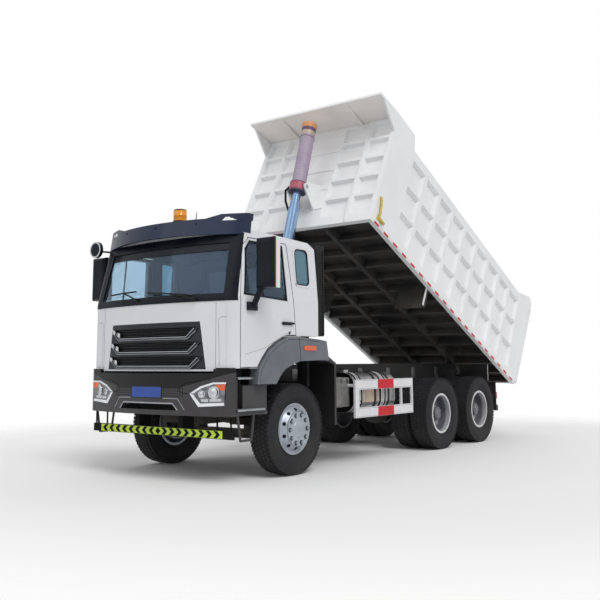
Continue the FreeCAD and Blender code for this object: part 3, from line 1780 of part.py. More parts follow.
def tail_lamps():
    y = rear_bar_y + 20 + seat_gap
    z = rear_bar_z + 150
    lamp = block(
        rear_bar_half_length - tail_lamp_width, rear_bar_half_length - 10, y, y + 60, z, z + tail_lamp_height
    )
    return both_sides(lamp.makeFillet(15, [edge for edge in lamp.Edges if abs(edge.tangentAt(0).y) > 0.9]))


def engine():
    """Engine block with its bell housing and gearbox."""
    half = engine_width / 2
    body = block(-half, half, engine_front_y, engine_rear_y, engine_bottom_z, engine_top_z)
    bell = Part.makeCone(
        200, gearbox_radius, 260, V(0, engine_rear_y - 10, gearbox_z), V(0, 1, 0)
    )
    box = rod(V(0, engine_rear_y + 200, gearbox_z), V(0, gearbox_rear_y, gearbox_z), gearbox_radius)
    mounts = []
    for side in (-1, 1):
        x = sorted((side * half, side * (rail_outer_x - rail_web - seat_gap)))
        for y in (-600, 250):
            mounts.append(block(x[0], x[1], y, y + 90, 900, 960))
    return fused([body, bell, box] + mounts)


def build():
    nodes = {
        "frame_rails": frame_rails(),
        "crossmembers": Part.makeCompound(crossmembers() + [hoist_cradle()]),
        "subframe": subframe(),
        "front_axle": front_axle(),
        "front_springs": front_springs(),
        "bogie_springs": bogie_springs(),
        "drive_axles": drive_axles(),
        "driveline": Part.makeCompound([engine()] + propshafts()),
        "fuel_tank": fuel_tank(),
        "tank_brackets": tank_brackets(),
        "chassis_boxes": chassis_boxes(),
        "side_guards": side_guards(),
        "underrun_bar": underrun(),
        "steps": steps(),
        "fenders": both_sides(front_fender()),
        "cab_interior": Part.makeCompound(cab_seats() + [dashboard()]),
        "air_intake": air_intake(),
        "beacon": beacon(),
        "sun_visor": visor(),
        "front_mirror": front_mirror(),
        "rear_bar": rear_bar(),
        "rear_guards": rear_guards(),
        "cab_mounts": cab_mounts(),
        "tail_lamps": tail_lamps(),
        "mirror_left": door_mirror(),
        "mirror_right": mirrored(door_mirror()),
        "knuckle_left": knuckle(),
        "knuckle_right": mirrored(knuckle()),
        "bed_floor": tipped(bed_floor()),
        "bed_side_left": tipped(bed_side()),
        "bed_side_right": tipped(mirrored(bed_side())),
        "bed_front": tipped(bed_front()),
        "tailgate": tipped(tailgate()),
    }
    nodes.update(wheel_nodes())
    nodes.update(hoist_nodes())
    nodes.update(cab_nodes())
    nodes.update(bumper_nodes())
    return nodes


def origin_shift(nodes):
    """Move the middle of the whole truck's footprint to the origin."""
    box = FreeCAD.BoundBox()
    for solid in nodes.values():
        box.add(solid.BoundBox)
    return V(-box.Center.x, -box.Center.y, -box.ZMin)


nodes = build()
shift = origin_shift(nodes)
for name, solid in nodes.items():
    solid.translate(shift)
    solid.exportStep("parts/" + name + ".step")
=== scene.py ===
import json
import math

import bmesh
import bpy
from mathutils import Matrix, Vector


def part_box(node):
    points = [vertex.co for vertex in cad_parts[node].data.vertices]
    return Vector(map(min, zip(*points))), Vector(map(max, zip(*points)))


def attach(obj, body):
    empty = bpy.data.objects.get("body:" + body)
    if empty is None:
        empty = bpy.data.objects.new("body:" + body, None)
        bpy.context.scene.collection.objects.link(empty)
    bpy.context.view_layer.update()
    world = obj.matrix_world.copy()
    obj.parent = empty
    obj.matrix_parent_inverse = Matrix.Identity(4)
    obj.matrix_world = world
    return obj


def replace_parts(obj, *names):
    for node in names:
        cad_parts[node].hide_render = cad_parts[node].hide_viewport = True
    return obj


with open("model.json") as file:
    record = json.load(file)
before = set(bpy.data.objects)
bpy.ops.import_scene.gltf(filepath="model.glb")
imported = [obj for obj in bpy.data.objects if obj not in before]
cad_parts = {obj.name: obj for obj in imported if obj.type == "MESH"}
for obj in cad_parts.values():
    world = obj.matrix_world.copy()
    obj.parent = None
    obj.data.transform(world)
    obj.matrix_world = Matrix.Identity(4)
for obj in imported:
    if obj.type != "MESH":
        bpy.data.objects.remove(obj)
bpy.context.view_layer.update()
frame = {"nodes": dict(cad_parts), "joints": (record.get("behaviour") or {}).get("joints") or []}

# Places are in metres: x to the truck's left, y to the rear from the front axle, z up from the ground.
front_hub = [(low + high) / 2 for low, high in zip(*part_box("tyre_front_left"))]
AXLE_Y = front_hub[1]
MIDDLE_Y = sum(corner[1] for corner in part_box("tyres_middle_left")) / 2 - AXLE_Y
REAR_Y = sum(corner[1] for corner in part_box("tyres_rear_left")) / 2 - AXLE_Y
SIDES = (("left", 1), ("right", -1))
DRIVE_AXLES = (("middle", MIDDLE_Y), ("rear", REAR_Y))
WHEEL_Z = front_hub[2]
TYRE_RADIUS = WHEEL_Z
TYRE_WIDTH = 0.300
FRONT_TRACK = 2.020
REAR_TRACK = 1.830
DUAL_SPACING = 0.346
RIM_FLANGE_RADIUS = 0.302
BOLT_CIRCLE = 0.1675
NUT_COUNT = 10
FRONT_NUT_FACE = FRONT_TRACK / 2 + 0.175
REAR_NUT_FACE = 0.929

joint_by_name = {joint["name"]: joint for joint in frame["joints"]}
BED_HINGE = Vector(joint_by_name["bed_tilt"]["pos_m"])
REST_TILT = -joint_by_name["bed_tilt"]["range_deg"][0]

HOIST_TOP_PIN = Vector(joint_by_name["hoist_top_pivot"]["pos_m"])
HOIST_UP = (HOIST_TOP_PIN - Vector(joint_by_name["hoist_base_pivot"]["pos_m"])).normalized()

BED_TURN = Matrix.Rotation(math.radians(-REST_TILT), 3, "X")
BED_UP = BED_TURN @ Vector((0, 0, 1))
floor_points = [vertex.co for vertex in frame["nodes"]["bed_floor"].data.vertices]
FLOOR_TOP = max((point - BED_HINGE).dot(BED_UP) for point in floor_points)

CAB_HALF_WIDTH = 1.240
CAB_FRONT = -1.300
CAB_BOW = 0.130
CAB_CORNER_X = 1.070
# Depth and width of the rounding at the front's corners.
CAB_CORNER = (0.160, 0.170)
BUMPER_CORNER = (0.073, 0.185)
BELT_Z = 2.050
SCREEN_BASE = 2.060
SCREEN_SLOPE = 0.25
SIDE_LEAN = 0.082
BOW_RADIUS = (CAB_CORNER_X**2 + CAB_BOW**2) / (2 * CAB_BOW)

BED_HALF_WIDTH = 1.250
GUARD_FACE = 1.220
# How far a painted line's outer face stands off the surface that it is on.
SEAM_LIFT = 0.0012


def at(x, y, z):
    """A point of the standing truck in the row's frame."""
    return Vector((x, AXLE_Y + y, z))


# Shader node groups


def link(tree, source, target):
    tree.links.new(source, target)


def new_group(name, inputs, outputs):
    tree = bpy.data.node_groups.new(name, "ShaderNodeTree")
    for socket_name, kind, value in inputs:
        socket = tree.interface.new_socket(socket_name, in_out="INPUT", socket_type=kind)
        socket.default_value = value
    for socket_name, kind in outputs:
        tree.interface.new_socket(socket_name, in_out="OUTPUT", socket_type=kind)
    return tree, tree.nodes.new("NodeGroupInput"), tree.nodes.new("NodeGroupOutput")


def math_node(tree, operation, first, second=0.0, clamp=False):
    node = tree.nodes.new("ShaderNodeMath")
    node.operation = operation
    node.use_clamp = clamp
    for socket, value in zip(node.inputs, (first, second)):
        if isinstance(value, (int, float)):
            socket.default_value = value
        else:
            link(tree, value, socket)
    return node.outputs[0]


def product(tree, first, second, clamp=False):
    return math_node(tree, "MULTIPLY", first, second, clamp)


def mix_colour(tree, factor, first, second):
    node = tree.nodes.new("ShaderNodeMix")
    node.data_type = "RGBA"
    for index, value in ((0, factor), (6, first), (7, second)):
        if isinstance(value, (int, float)):
            node.inputs[index].default_value = value
        elif isinstance(value, (tuple, list)):
            node.inputs[index].default_value = (*value[:3], 1)
        else:
            link(tree, value, node.inputs[index])
    return node.outputs[2]


def object_coordinates(tree):
    return tree.nodes.new("ShaderNodeTexCoord").outputs["Object"]


def separated(tree):
    """A surface point's X, Y and Z."""
    split = tree.nodes.new("ShaderNodeSeparateXYZ")
    link(tree, object_coordinates(tree), split.inputs[0])
    return split.outputs


def from_middle(tree):
    """A surface point's distance from the plane through the truck's middle."""
    return math_node(tree, "ABSOLUTE", separated(tree)["X"])


def vector_math(tree, operation, first, second):
    node = tree.nodes.new("ShaderNodeVectorMath")
    node.operation = operation
    for socket, value in zip(node.inputs, (first, second)):
        if isinstance(value, (tuple, Vector)):
            socket.default_value = value
        else:
            link(tree, value, socket)
    return node.outputs["Value" if operation == "DOT_PRODUCT" else "Vector"]


def reach_along(tree, origin, direction):
    """How far a surface point lies from origin along a direction."""
    away = vector_math(tree, "SUBTRACT", object_coordinates(tree), origin)
    return vector_math(tree, "DOT_PRODUCT", away, direction)


def noise(tree, scale, detail=3.0, roughness=0.55):
    node = tree.nodes.new("ShaderNodeTexNoise")
    link(tree, object_coordinates(tree), node.inputs["Vector"])
    if isinstance(scale, (int, float)):
        node.inputs["Scale"].default_value = scale
    else:
        link(tree, scale, node.inputs["Scale"])
    node.inputs["Detail"].default_value = detail
    node.inputs["Roughness"].default_value = roughness
    return node.outputs["Fac"]


def band(tree, value, low, high):
    """0 below low, 1 above high, smooth between."""
    node = tree.nodes.new("ShaderNodeMapRange")
    node.interpolation_type = "SMOOTHSTEP"
    link(tree, value, node.inputs["Value"])
    node.inputs["From Min"].default_value = low
    node.inputs["From Max"].default_value = high
    return node.outputs["Result"]


def build_road_dust():
    """Dust that is thicker near the ground, broken up by two sizes of noise."""
    tree, given, out = new_group(
        "road_dust",
        [("Top", "NodeSocketFloat", 1.4), ("Amount", "NodeSocketFloat", 0.5)],
        [("Mask", "NodeSocketFloat")],
    )
    height = math_node(tree, "DIVIDE", separated(tree)["Z"], given.outputs["Top"])
    low_down = math_node(tree, "SUBTRACT", 1.0, height, clamp=True)
    patches = product(tree, band(tree, noise(tree, 2.3, 5.0), 0.3, 0.75), 0.7)
    specks = product(tree, band(tree, noise(tree, 38.0, 4.0), 0.35, 0.8), 0.3)
    broken = product(tree, low_down, math_node(tree, "ADD", patches, specks))
    link(tree, product(tree, broken, given.outputs["Amount"], clamp=True), out.inputs["Mask"])
    return tree


def build_tone_drift():
    """Slow changes of tone over a surface, and a fine height for its bump."""
    tree, given, out = new_group(
        "tone_drift",
        [("Scale", "NodeSocketFloat", 3.0), ("Grain", "NodeSocketFloat", 300.0)],
        [("Tone", "NodeSocketFloat"), ("Height", "NodeSocketFloat")],
    )
    link(tree, noise(tree, given.outputs["Scale"], 4.0), out.inputs["Tone"])
    link(tree, noise(tree, given.outputs["Grain"], 2.0), out.inputs["Height"])
    return tree


def build_edge_wear():
    """Corners and edges where the finish has rubbed, from the bevelled normal."""
    tree, given, out = new_group(
        "edge_wear",
        [("Radius", "NodeSocketFloat", 0.006), ("Amount", "NodeSocketFloat", 0.5)],
        [("Mask", "NodeSocketFloat")],
    )
    geometry = tree.nodes.new("ShaderNodeNewGeometry")
    bevel = tree.nodes.new("ShaderNodeBevel")
    bevel.samples = 4
    link(tree, given.outputs["Radius"], bevel.inputs["Radius"])
    match = vector_math(tree, "DOT_PRODUCT", bevel.outputs[0], geometry.outputs["Normal"])
    edge = band(tree, math_node(tree, "SUBTRACT", 1.0, match), 0.01, 0.12)
    mask = product(tree, edge, band(tree, noise(tree, 60.0, 4.0), 0.42, 0.62))
    link(tree, product(tree, mask, given.outputs["Amount"], clamp=True), out.inputs["Mask"])
    return tree


road_dust = build_road_dust()
tone_drift = build_tone_drift()
edge_wear = build_edge_wear()
DUST_COLOUR = (0.33, 0.29, 0.24)


def group_node(tree, group, **values):
    node = tree.nodes.new("ShaderNodeGroup")
    node.node_tree = group
    for name, value in values.items():
        node.inputs[name].default_value = value
    return node


def finish(name, colour, second, roughness, metallic=0.0, coat=0.0, drift=3.0, grain=300.0, bump=0.05,
           dust=0.0, dust_top=1.4, wear=0.0, wear_colour=(0.3, 0.3, 0.3), specular=0.5, extra=None):
    """A painted, moulded or metal finish: two tones, dust from the road and worn edges."""
    material = bpy.data.materials.new(name)
    material.use_nodes = True
    tree = material.node_tree
    shader = tree.nodes["Principled BSDF"]
    tones = group_node(tree, tone_drift, Scale=drift, Grain=grain)
    spread = band(tree, tones.outputs["Tone"], 0.3, 0.7)
    base = mix_colour(tree, spread, colour, second)
    rough = math_node(tree, "ADD", product(tree, spread, 0.08), roughness - 0.04)
    if extra:
        base = extra(tree, base)
    if wear:
        worn = group_node(tree, edge_wear, Amount=wear)
        base = mix_colour(tree, worn.outputs["Mask"], base, wear_colour)
    if dust:
        dirt = group_node(tree, road_dust, Top=dust_top, Amount=dust)
        base = mix_colour(tree, dirt.outputs["Mask"], base, DUST_COLOUR)
        rough = math_node(tree, "ADD", rough, product(tree, dirt.outputs["Mask"], 0.4), clamp=True)
    link(tree, base, shader.inputs["Base Color"])
    link(tree, rough, shader.inputs["Roughness"])
    shader.inputs["Metallic"].default_value = metallic
    shader.inputs["Coat Weight"].default_value = coat
    shader.inputs["Specular IOR Level"].default_value = specular
    height = tree.nodes.new("ShaderNodeBump")
    height.inputs["Strength"].default_value = bump
    height.inputs["Distance"].default_value = 0.002
    link(tree, tones.outputs["Height"], height.inputs["Height"])
    link(tree, height.outputs["Normal"], shader.inputs["Normal"])
    return material


def clear_material(name, colour, roughness, transmission, extra=None):
    """Glass with faint streaks in its tone and gloss, and reflections as blue as a clear sky's."""
    material = bpy.data.materials.new(name)
    material.use_nodes = True
    tree = material.node_tree
    shader = tree.nodes["Principled BSDF"]
    streaks = band(tree, noise(tree, 4.0, 5.0), 0.35, 0.8)
    base = mix_colour(tree, streaks, colour, [tone * 0.9 for tone in colour])
    rough = math_node(tree, "ADD", product(tree, streaks, 0.02), roughness)
    link(tree, extra(tree, base) if extra else base, shader.inputs["Base Color"])
    link(tree, rough, shader.inputs["Roughness"])
    shader.inputs["Transmission Weight"].default_value = transmission
    shader.inputs["IOR"].default_value = 1.45
    shader.inputs["Specular Tint"].default_value = (0.50, 0.66, 1.0, 1.0)
    return material


def bumper_recess_shade(tree, base):
    """Painted shade: near black in the recess under the grille, between the bumper's two brows."""
    low, half_width, widening = 1.045, 0.50, 4.1
    height = separated(tree)["Z"]
    reach = product(tree, math_node(tree, "SUBTRACT", height, low), widening)
    inside = math_node(tree, "SUBTRACT", math_node(tree, "ADD", reach, half_width), from_middle(tree))
    mask = product(tree, band(tree, inside, 0.0, 0.02), band(tree, height, low, low + 0.007))
    return mix_colour(tree, mask, base, (0.005, 0.005, 0.006))


def fender_black(tree, base):
    """Black wheel arch and rear mudguard; only the outer face is grey."""
    rear = band(tree, separated(tree)["Y"], AXLE_Y + 0.545, AXLE_Y + 0.550)
    inner = math_node(tree, "SUBTRACT", 1.0, band(tree, from_middle(tree), 1.120, 1.140))
    return mix_colour(tree, math_node(tree, "MAXIMUM", rear, inner), base, (0.013, 0.013, 0.015))


def cab_lining_side(tree, base):
    """Inner faces of the shell and doors, which look toward the cab's middle, are trimmed dark."""
    cab_middle = (0, AXLE_Y - 0.500, 2.150)
    normal = tree.nodes.new("ShaderNodeVectorTransform")
    normal.vector_type = "NORMAL"
    normal.convert_from = "WORLD"
    normal.convert_to = "OBJECT"
    link(tree, tree.nodes.new("ShaderNodeNewGeometry").outputs["True Normal"], normal.inputs[0])
    inward = math_node(tree, "LESS_THAN", reach_along(tree, cab_middle, normal.outputs[0]), -0.05)
    return mix_colour(tree, inward, base, (0.035, 0.038, 0.048))


def bed_floor_top(tree, base):
    """Steel worn by loads on the floor's upper side; the underside stays black."""
    tone = band(tree, noise(tree, 3.0, 6.0), 0.35, 0.7)
    steel = mix_colour(tree, tone, (0.34, 0.33, 0.32), (0.20, 0.18, 0.16))
    top = math_node(tree, "GREATER_THAN", reach_along(tree, BED_HINGE, BED_UP), FLOOR_TOP - 0.002)
    return mix_colour(tree, top, base, steel)


def rim_lip_highlight(tree, base):
    """Lighter silver on the dual rims' outermost lip: a painted highlight where light falls on the barrel wall
    near the flange.
    """
    return mix_colour(tree, band(tree, from_middle(tree), 1.120, 1.150), base, (0.50, 0.51, 0.54))


def tank_end_shade(tree, base):
    """Painted shade: the tank's front end, which stands in shadow, is painted nearly black."""
    front = band(tree, separated(tree)["Y"], AXLE_Y + 1.290, AXLE_Y + 1.275)
    return mix_colour(tree, front, base, (0.02, 0.02, 0.021))


def rear_pane_shade(tree, base):
    """Painted shade: the rear wall's pane is painted nearly black."""
    rear = band(tree, separated(tree)["Y"], AXLE_Y + 0.235, AXLE_Y + 0.245)
    return mix_colour(tree, rear, base, (0.03, 0.04, 0.05))


def hoist_bands(tree, base):
    """Orange at the very top of the hoist's cover, with faint darker turns down its length."""
    height = reach_along(tree, HOIST_TOP_PIN, HOIST_UP)
    turns = band(tree, math_node(tree, "SINE", product(tree, height, 232.0)), 0.2, 0.9)
    base = mix_colour(tree, product(tree, turns, 0.35), base, (0.22, 0.15, 0.24))
    return mix_colour(tree, band(tree, height, 1.010, 1.014), base, (0.68, 0.30, 0.13))


def mirror_paint(tree, base):
    """A red stripe and a white rear half on the mirror housing's outer side."""
    y = separated(tree)["Y"]
    outboard = band(tree, from_middle(tree), 1.548, 1.552)
    red = product(tree, outboard, band(tree, y, AXLE_Y - 0.900, AXLE_Y - 0.898))
    white = product(tree, outboard, band(tree, y, AXLE_Y - 0.880, AXLE_Y - 0.878))
    return mix_colour(tree, white, mix_colour(tree, red, base, (0.55, 0.03, 0.04)), (0.75, 0.76, 0.77))


CAB_WHITE = {
    "colour": (0.71, 0.720, 0.745), "second": (0.665, 0.675, 0.70), "roughness": 0.28, "coat": 0.4,
    "drift": 1.1, "grain": 90.0, "bump": 0.015, "dust": 0.14, "dust_top": 2.2,
}
MIRROR_PLASTIC = {
    "colour": (0.006, 0.008, 0.014), "second": (0.010, 0.013, 0.020), "roughness": 0.30, "drift": 4.0,
    "bump": 0.02, "specular": 0.16,
}
white_paint = finish("white_paint", **CAB_WHITE)
cab_paint = finish("cab_paint", extra=cab_lining_side, **CAB_WHITE)
bed_white = finish("bed_white", (0.84, 0.85, 0.86), (0.79, 0.80, 0.81), 0.38, coat=0.3, drift=1.6,
                   grain=60.0, bump=0.03, dust=0.06, dust_top=5.0)
# Painted light: the canopy lining's beige is raised near white to stand in for light bounced up under the
# canopy.
canopy_grey_bounce_light = finish("canopy_grey_bounce_light", (0.88, 0.84, 0.81), (0.80, 0.77, 0.74), 0.5, drift=2.0, bump=0.05)
bed_black = finish("bed_black", (0.028, 0.028, 0.030), (0.045, 0.044, 0.043), 0.55, drift=2.4, bump=0.12,
                   dust=0.3, dust_top=5.0, wear=0.35, wear_colour=(0.12, 0.11, 0.10), specular=0.15,
                   extra=bed_floor_top)
chassis_black = finish("chassis_black", (0.012, 0.012, 0.013), (0.022, 0.021, 0.021), 0.45, drift=3.0,
                       bump=0.1, dust=0.28, wear=0.25, wear_colour=(0.09, 0.08, 0.075), specular=0.2)
cast_iron = finish("cast_iron", (0.035, 0.034, 0.033), (0.055, 0.05, 0.045), 0.62, drift=6.0, grain=140.0,
                   bump=0.35, dust=0.6, dust_top=1.2, specular=0.2)
tyre_rubber = finish("tyre_rubber", (0.016, 0.016, 0.019), (0.024, 0.024, 0.027), 0.7, drift=7.0,
                     grain=260.0, bump=0.25, dust=0.10, dust_top=0.9, specular=0.25)
grey_plastic = finish("grey_plastic", (0.042, 0.041, 0.045), (0.054, 0.052, 0.056), 0.36, drift=4.0,
                      grain=420.0, bump=0.10, dust=0.10, dust_top=1.5, specular=0.35)
# The bumper's recess under the grille is painted shade.
bumper_plastic = finish("bumper_plastic", (0.042, 0.040, 0.043), (0.054, 0.050, 0.053), 0.34, drift=4.0,
                        grain=420.0, bump=0.10, dust=0.08, dust_top=1.2, specular=0.35, extra=bumper_recess_shade)
fender_plastic = finish("fender_plastic", (0.118, 0.132, 0.154), (0.145, 0.160, 0.184), 0.34, drift=4.0,
                        grain=420.0, bump=0.08, dust=0.12, dust_top=1.5, specular=0.5, extra=fender_black)
grille_plastic = finish("grille_plastic", (0.020, 0.021, 0.026), (0.030, 0.031, 0.036), 0.34, drift=4.0,
                        grain=420.0, bump=0.08, specular=0.25)
black_plastic = finish("black_plastic", (0.012, 0.012, 0.013), (0.020, 0.020, 0.021), 0.45, drift=5.0,
                       grain=380.0, bump=0.15, dust=0.2, dust_top=1.4, specular=0.2)
visor_navy = finish("visor_navy", (0.009, 0.017, 0.045), (0.015, 0.026, 0.064), 0.22, coat=0.2, drift=2.0,
                    grain=120.0, bump=0.01, specular=0.25)
mirror_black = finish("mirror_black", **MIRROR_PLASTIC)
bright_chrome = finish("bright_chrome", (0.86, 0.87, 0.88), (0.78, 0.79, 0.81), 0.12, metallic=1.0,
                       drift=9.0, bump=0.02)
wheel_silver = finish("wheel_silver", (0.44, 0.49, 0.55), (0.36, 0.40, 0.46), 0.36, metallic=0.5, coat=0.2,
                      drift=8.0, bump=0.05, dust=0.25, dust_top=1.1)
# The dual rims' outermost lip carries a painted highlight.
deep_silver = finish("deep_silver", (0.20, 0.20, 0.225), (0.14, 0.14, 0.16), 0.5, metallic=0.3, drift=8.0,
                     bump=0.08, dust=0.2, dust_top=1.6, specular=0.3, extra=rim_lip_highlight)
nut_steel = finish("nut_steel", (0.20, 0.20, 0.21), (0.12, 0.12, 0.12), 0.4, metallic=0.8, drift=30.0,
                   bump=0.1)
# The tank's front end in this finish is painted shade.
brushed_tank = finish("brushed_tank", (0.50, 0.49, 0.50), (0.36, 0.35, 0.36), 0.30, metallic=0.85,
                      drift=5.0, grain=220.0, bump=0.12, dust=0.12, dust_top=1.6, extra=tank_end_shade)
hoist_pink = finish("hoist_pink", (0.43, 0.36, 0.46), (0.36, 0.30, 0.40), 0.5, drift=4.0, bump=0.08,
                    wear=0.4, wear_colour=(0.5, 0.47, 0.48), extra=hoist_bands)
hoist_orange = finish("hoist_orange", (0.72, 0.32, 0.14), (0.62, 0.26, 0.12), 0.45, drift=6.0, bump=0.06,
                      wear=0.4, wear_colour=(0.35, 0.28, 0.22))
hoist_red = finish("hoist_red", (0.44, 0.10, 0.13), (0.34, 0.08, 0.11), 0.42, drift=6.0, bump=0.06)
hoist_purple = finish("hoist_purple", (0.13, 0.07, 0.13), (0.10, 0.06, 0.11), 0.5, drift=6.0, bump=0.06)
# Painted reflection: the chrome stages are tinted blue as though they mirrored a clear sky.
rod_chrome_sky_reflection = finish("rod_chrome_sky_reflection", (0.29, 0.43, 0.64), (0.23, 0.36, 0.56), 0.20, metallic=0.75, drift=3.0,
                    bump=0.01)
red_lens = finish("red_lens", (0.55, 0.02, 0.015), (0.42, 0.015, 0.012), 0.15, coat=0.6, drift=14.0,
                  bump=0.04)
orange_lens = finish("orange_lens", (0.80, 0.13, 0.03), (0.70, 0.10, 0.02), 0.15, coat=0.6, drift=14.0,
                     bump=0.04)
white_lens = finish("white_lens", (0.88, 0.90, 0.92), (0.78, 0.81, 0.84), 0.12, coat=0.7, drift=12.0,
                    bump=0.02)
stripe_white = finish("stripe_white", (0.74, 0.74, 0.76), (0.66, 0.66, 0.68), 0.4, drift=9.0, bump=0.05)
stripe_red = finish("stripe_red", (0.60, 0.008, 0.020), (0.50, 0.007, 0.018), 0.35, drift=9.0, bump=0.05,
                    specular=0.3)
lime_paint = finish("lime_paint", (0.52, 0.72, 0.04), (0.46, 0.64, 0.05), 0.4, drift=5.0, bump=0.05)
plate_blue = finish("plate_blue", (0.01, 0.07, 0.36), (0.01, 0.055, 0.30), 0.35, coat=0.3, drift=10.0,
                    bump=0.03)
seat_cloth = finish("seat_cloth", (0.045, 0.047, 0.055), (0.070, 0.073, 0.082), 0.9, drift=40.0,
                    grain=900.0, bump=0.5, specular=0.1)
mirror_glass = finish("mirror_glass", (0.72, 0.75, 0.78), (0.66, 0.69, 0.72), 0.05, metallic=1.0, drift=2.0,
                      bump=0.0)
mirror_shell = finish("mirror_shell", extra=mirror_paint, **MIRROR_PLASTIC)
# The rear wall's pane in this glass is painted shade.
window_glass = clear_material("window_glass", (0.60, 0.76, 0.88), 0.02, 0.97, rear_pane_shade)
teal_glass = clear_material("teal_glass", (0.42, 0.68, 0.78), 0.03, 0.80)
lamp_housing = finish("lamp_housing", (0.16, 0.17, 0.18), (0.09, 0.09, 0.10), 0.15, metallic=0.9, coat=0.6,
                      drift=10.0, bump=0.05)
hub_grey = finish("hub_grey", (0.24, 0.24, 0.26), (0.14, 0.14, 0.155), 0.42, metallic=0.5, drift=14.0,
                  bump=0.1, dust=0.15, dust_top=1.4)
trim_silver = finish("trim_silver", (0.50, 0.52, 0.56), (0.42, 0.44, 0.48), 0.25, metallic=0.9, drift=9.0,
                     bump=0.02)
bright_flange = finish("bright_flange", (0.80, 0.80, 0.80), (0.66, 0.66, 0.66), 0.35, metallic=0.6,
                       drift=12.0, bump=0.04, dust=0.15, dust_top=1.2)
deep_black = finish("deep_black", (0.006, 0.006, 0.007), (0.010, 0.010, 0.011), 0.6, drift=6.0, bump=0.05,
                    specular=0.1)
net_black = finish("net_black", (0.010, 0.010, 0.011), (0.016, 0.016, 0.018), 0.7, drift=30.0, grain=700.0,
                   bump=0.6, specular=0.1)
seam_grey = finish("seam_grey", (0.30, 0.31, 0.32), (0.24, 0.25, 0.26), 0.5, drift=6.0, bump=0.02)
tint_band = finish("tint_band", (0.010, 0.012, 0.019), (0.016, 0.019, 0.028), 0.20, drift=2.0, bump=0.0,
                   specular=0.2)
lamp_dark = finish("lamp_dark", (0.30, 0.31, 0.34), (0.12, 0.125, 0.14), 0.18, metallic=0.7, coat=0.5,
                   drift=16.0, bump=0.05)
lens_grey = finish("lens_grey", (0.82, 0.85, 0.90), (0.55, 0.58, 0.63), 0.06, metallic=0.7, coat=0.9,
                   drift=22.0, bump=0.02)
beacon_amber = finish("beacon_amber", (0.90, 0.36, 0.002), (0.80, 0.27, 0.001), 0.18, coat=0.4, drift=6.0,
                      bump=0.03)
tank_beige = finish("tank_beige", (0.52, 0.41, 0.30), (0.46, 0.36, 0.27), 0.45, metallic=0.2, drift=5.0,
                    bump=0.05)
box_grey = finish("box_grey", (0.22, 0.22, 0.215), (0.14, 0.14, 0.138), 0.5, drift=8.0, bump=0.1, dust=0.3,
                  specular=0.3)
hook_yellow = finish("hook_yellow", (0.62, 0.50, 0.08), (0.50, 0.38, 0.06), 0.5, drift=10.0, bump=0.06,
                     wear=0.4, wear_colour=(0.3, 0.25, 0.18))
dash_grey = finish("dash_grey", (0.022, 0.024, 0.030), (0.032, 0.034, 0.040), 0.7, drift=5.0, grain=600.0,
                   bump=0.3, specular=0.15)
lining_grey = finish("lining_grey", (0.030, 0.033, 0.042), (0.045, 0.048, 0.060), 0.85, drift=8.0,
                     grain=700.0, bump=0.3, specular=0.1)

NODE_FINISH = {
    "air_intake": black_plastic, "beacon": black_plastic, "bed_floor": bed_black, "bed_front": bed_white,
    "bed_side_left": bed_white, "bed_side_right": bed_white, "bogie_springs": cast_iron,
    "bumper": bumper_plastic, "cab_glass": window_glass, "cab_interior": seat_cloth,
    "cab_mounts": chassis_black,
    "cab_shell": cab_paint, "chassis_boxes": box_grey, "crossmembers": chassis_black,
    "door_glass_left": window_glass, "door_glass_right": window_glass, "door_left": cab_paint,
    "door_right": cab_paint, "drive_axles": cast_iron, "driveline": cast_iron, "fenders": fender_plastic,
    "frame_rails": chassis_black, "front_axle": cast_iron, "front_lid": white_paint,
    "front_mirror": mirror_black, "front_springs": cast_iron, "fuel_tank": brushed_tank,
    "grille": grille_plastic, "headlamps": lamp_housing, "hoist_barrel": hoist_pink, "hoist_cover": hoist_pink,
    "hoist_plunger": rod_chrome_sky_reflection, "hoist_stage_2": rod_chrome_sky_reflection, "hoist_stage_3": rod_chrome_sky_reflection,
    "knuckle_left": cast_iron, "knuckle_right": cast_iron, "mirror_left": mirror_shell,
    "mirror_right": mirror_shell, "rear_bar": chassis_black, "rear_guards": black_plastic,
    "side_guards": stripe_white, "steps": grey_plastic, "subframe": chassis_black, "sun_visor": visor_navy,
    "tail_lamps": red_lens, "tailgate": bed_white, "tank_brackets": chassis_black,
    "underrun_bar": deep_black,
}
for side in ("left", "right"):
    NODE_FINISH["rim_front_" + side] = wheel_silver
    for place in ("middle", "rear"):
        NODE_FINISH["rim_%s_%s" % (place, side)] = deep_silver
for node_name, node in frame["nodes"].items():
    node.data.materials.clear()
    node.data.materials.append(NODE_FINISH.get(node_name, tyre_rubber))


# Shapes that pieces are made of


def add_block(mesh, low, high, edge=0.0):
    """A block between two corners, with its edges rounded by edge."""
    low = Vector(low)
    high = Vector(high)
    place = Matrix.Translation((low + high) / 2) @ Matrix.Diagonal((*(high - low), 1))
    made = bmesh.ops.create_cube(mesh, size=1.0, matrix=place)
    if edge:
        edges = list({e for vert in made["verts"] for e in vert.link_edges})
        bmesh.ops.bevel(mesh, geom=edges, offset=edge, segments=2, profile=0.5, affect="EDGES", material=-1)


def add_side_block(mesh, side, near, far, edge=0.0):
    """A block whose corners are given for the left side, made on either side."""
    inner, outer = sorted((side * near[0], side * far[0]))
    add_block(mesh, at(inner, *near[1:]), at(outer, *far[1:]), edge)


def along(start, end):
    """A turn and place whose z runs from start to end, with its middle between them."""
    start = Vector(start)
    end = Vector(end)
    turn = (end - start).to_track_quat("Z", "Y").to_matrix().to_4x4()
    return Matrix.Translation((start + end) / 2) @ turn, (end - start).length


def add_rod(mesh, start, end, radius, sides=16, end_radius=None):
    place, length = along(start, end)
    bmesh.ops.create_cone(mesh, cap_ends=True, segments=sides, radius1=radius,
                          radius2=radius if end_radius is None else end_radius, depth=length, matrix=place)


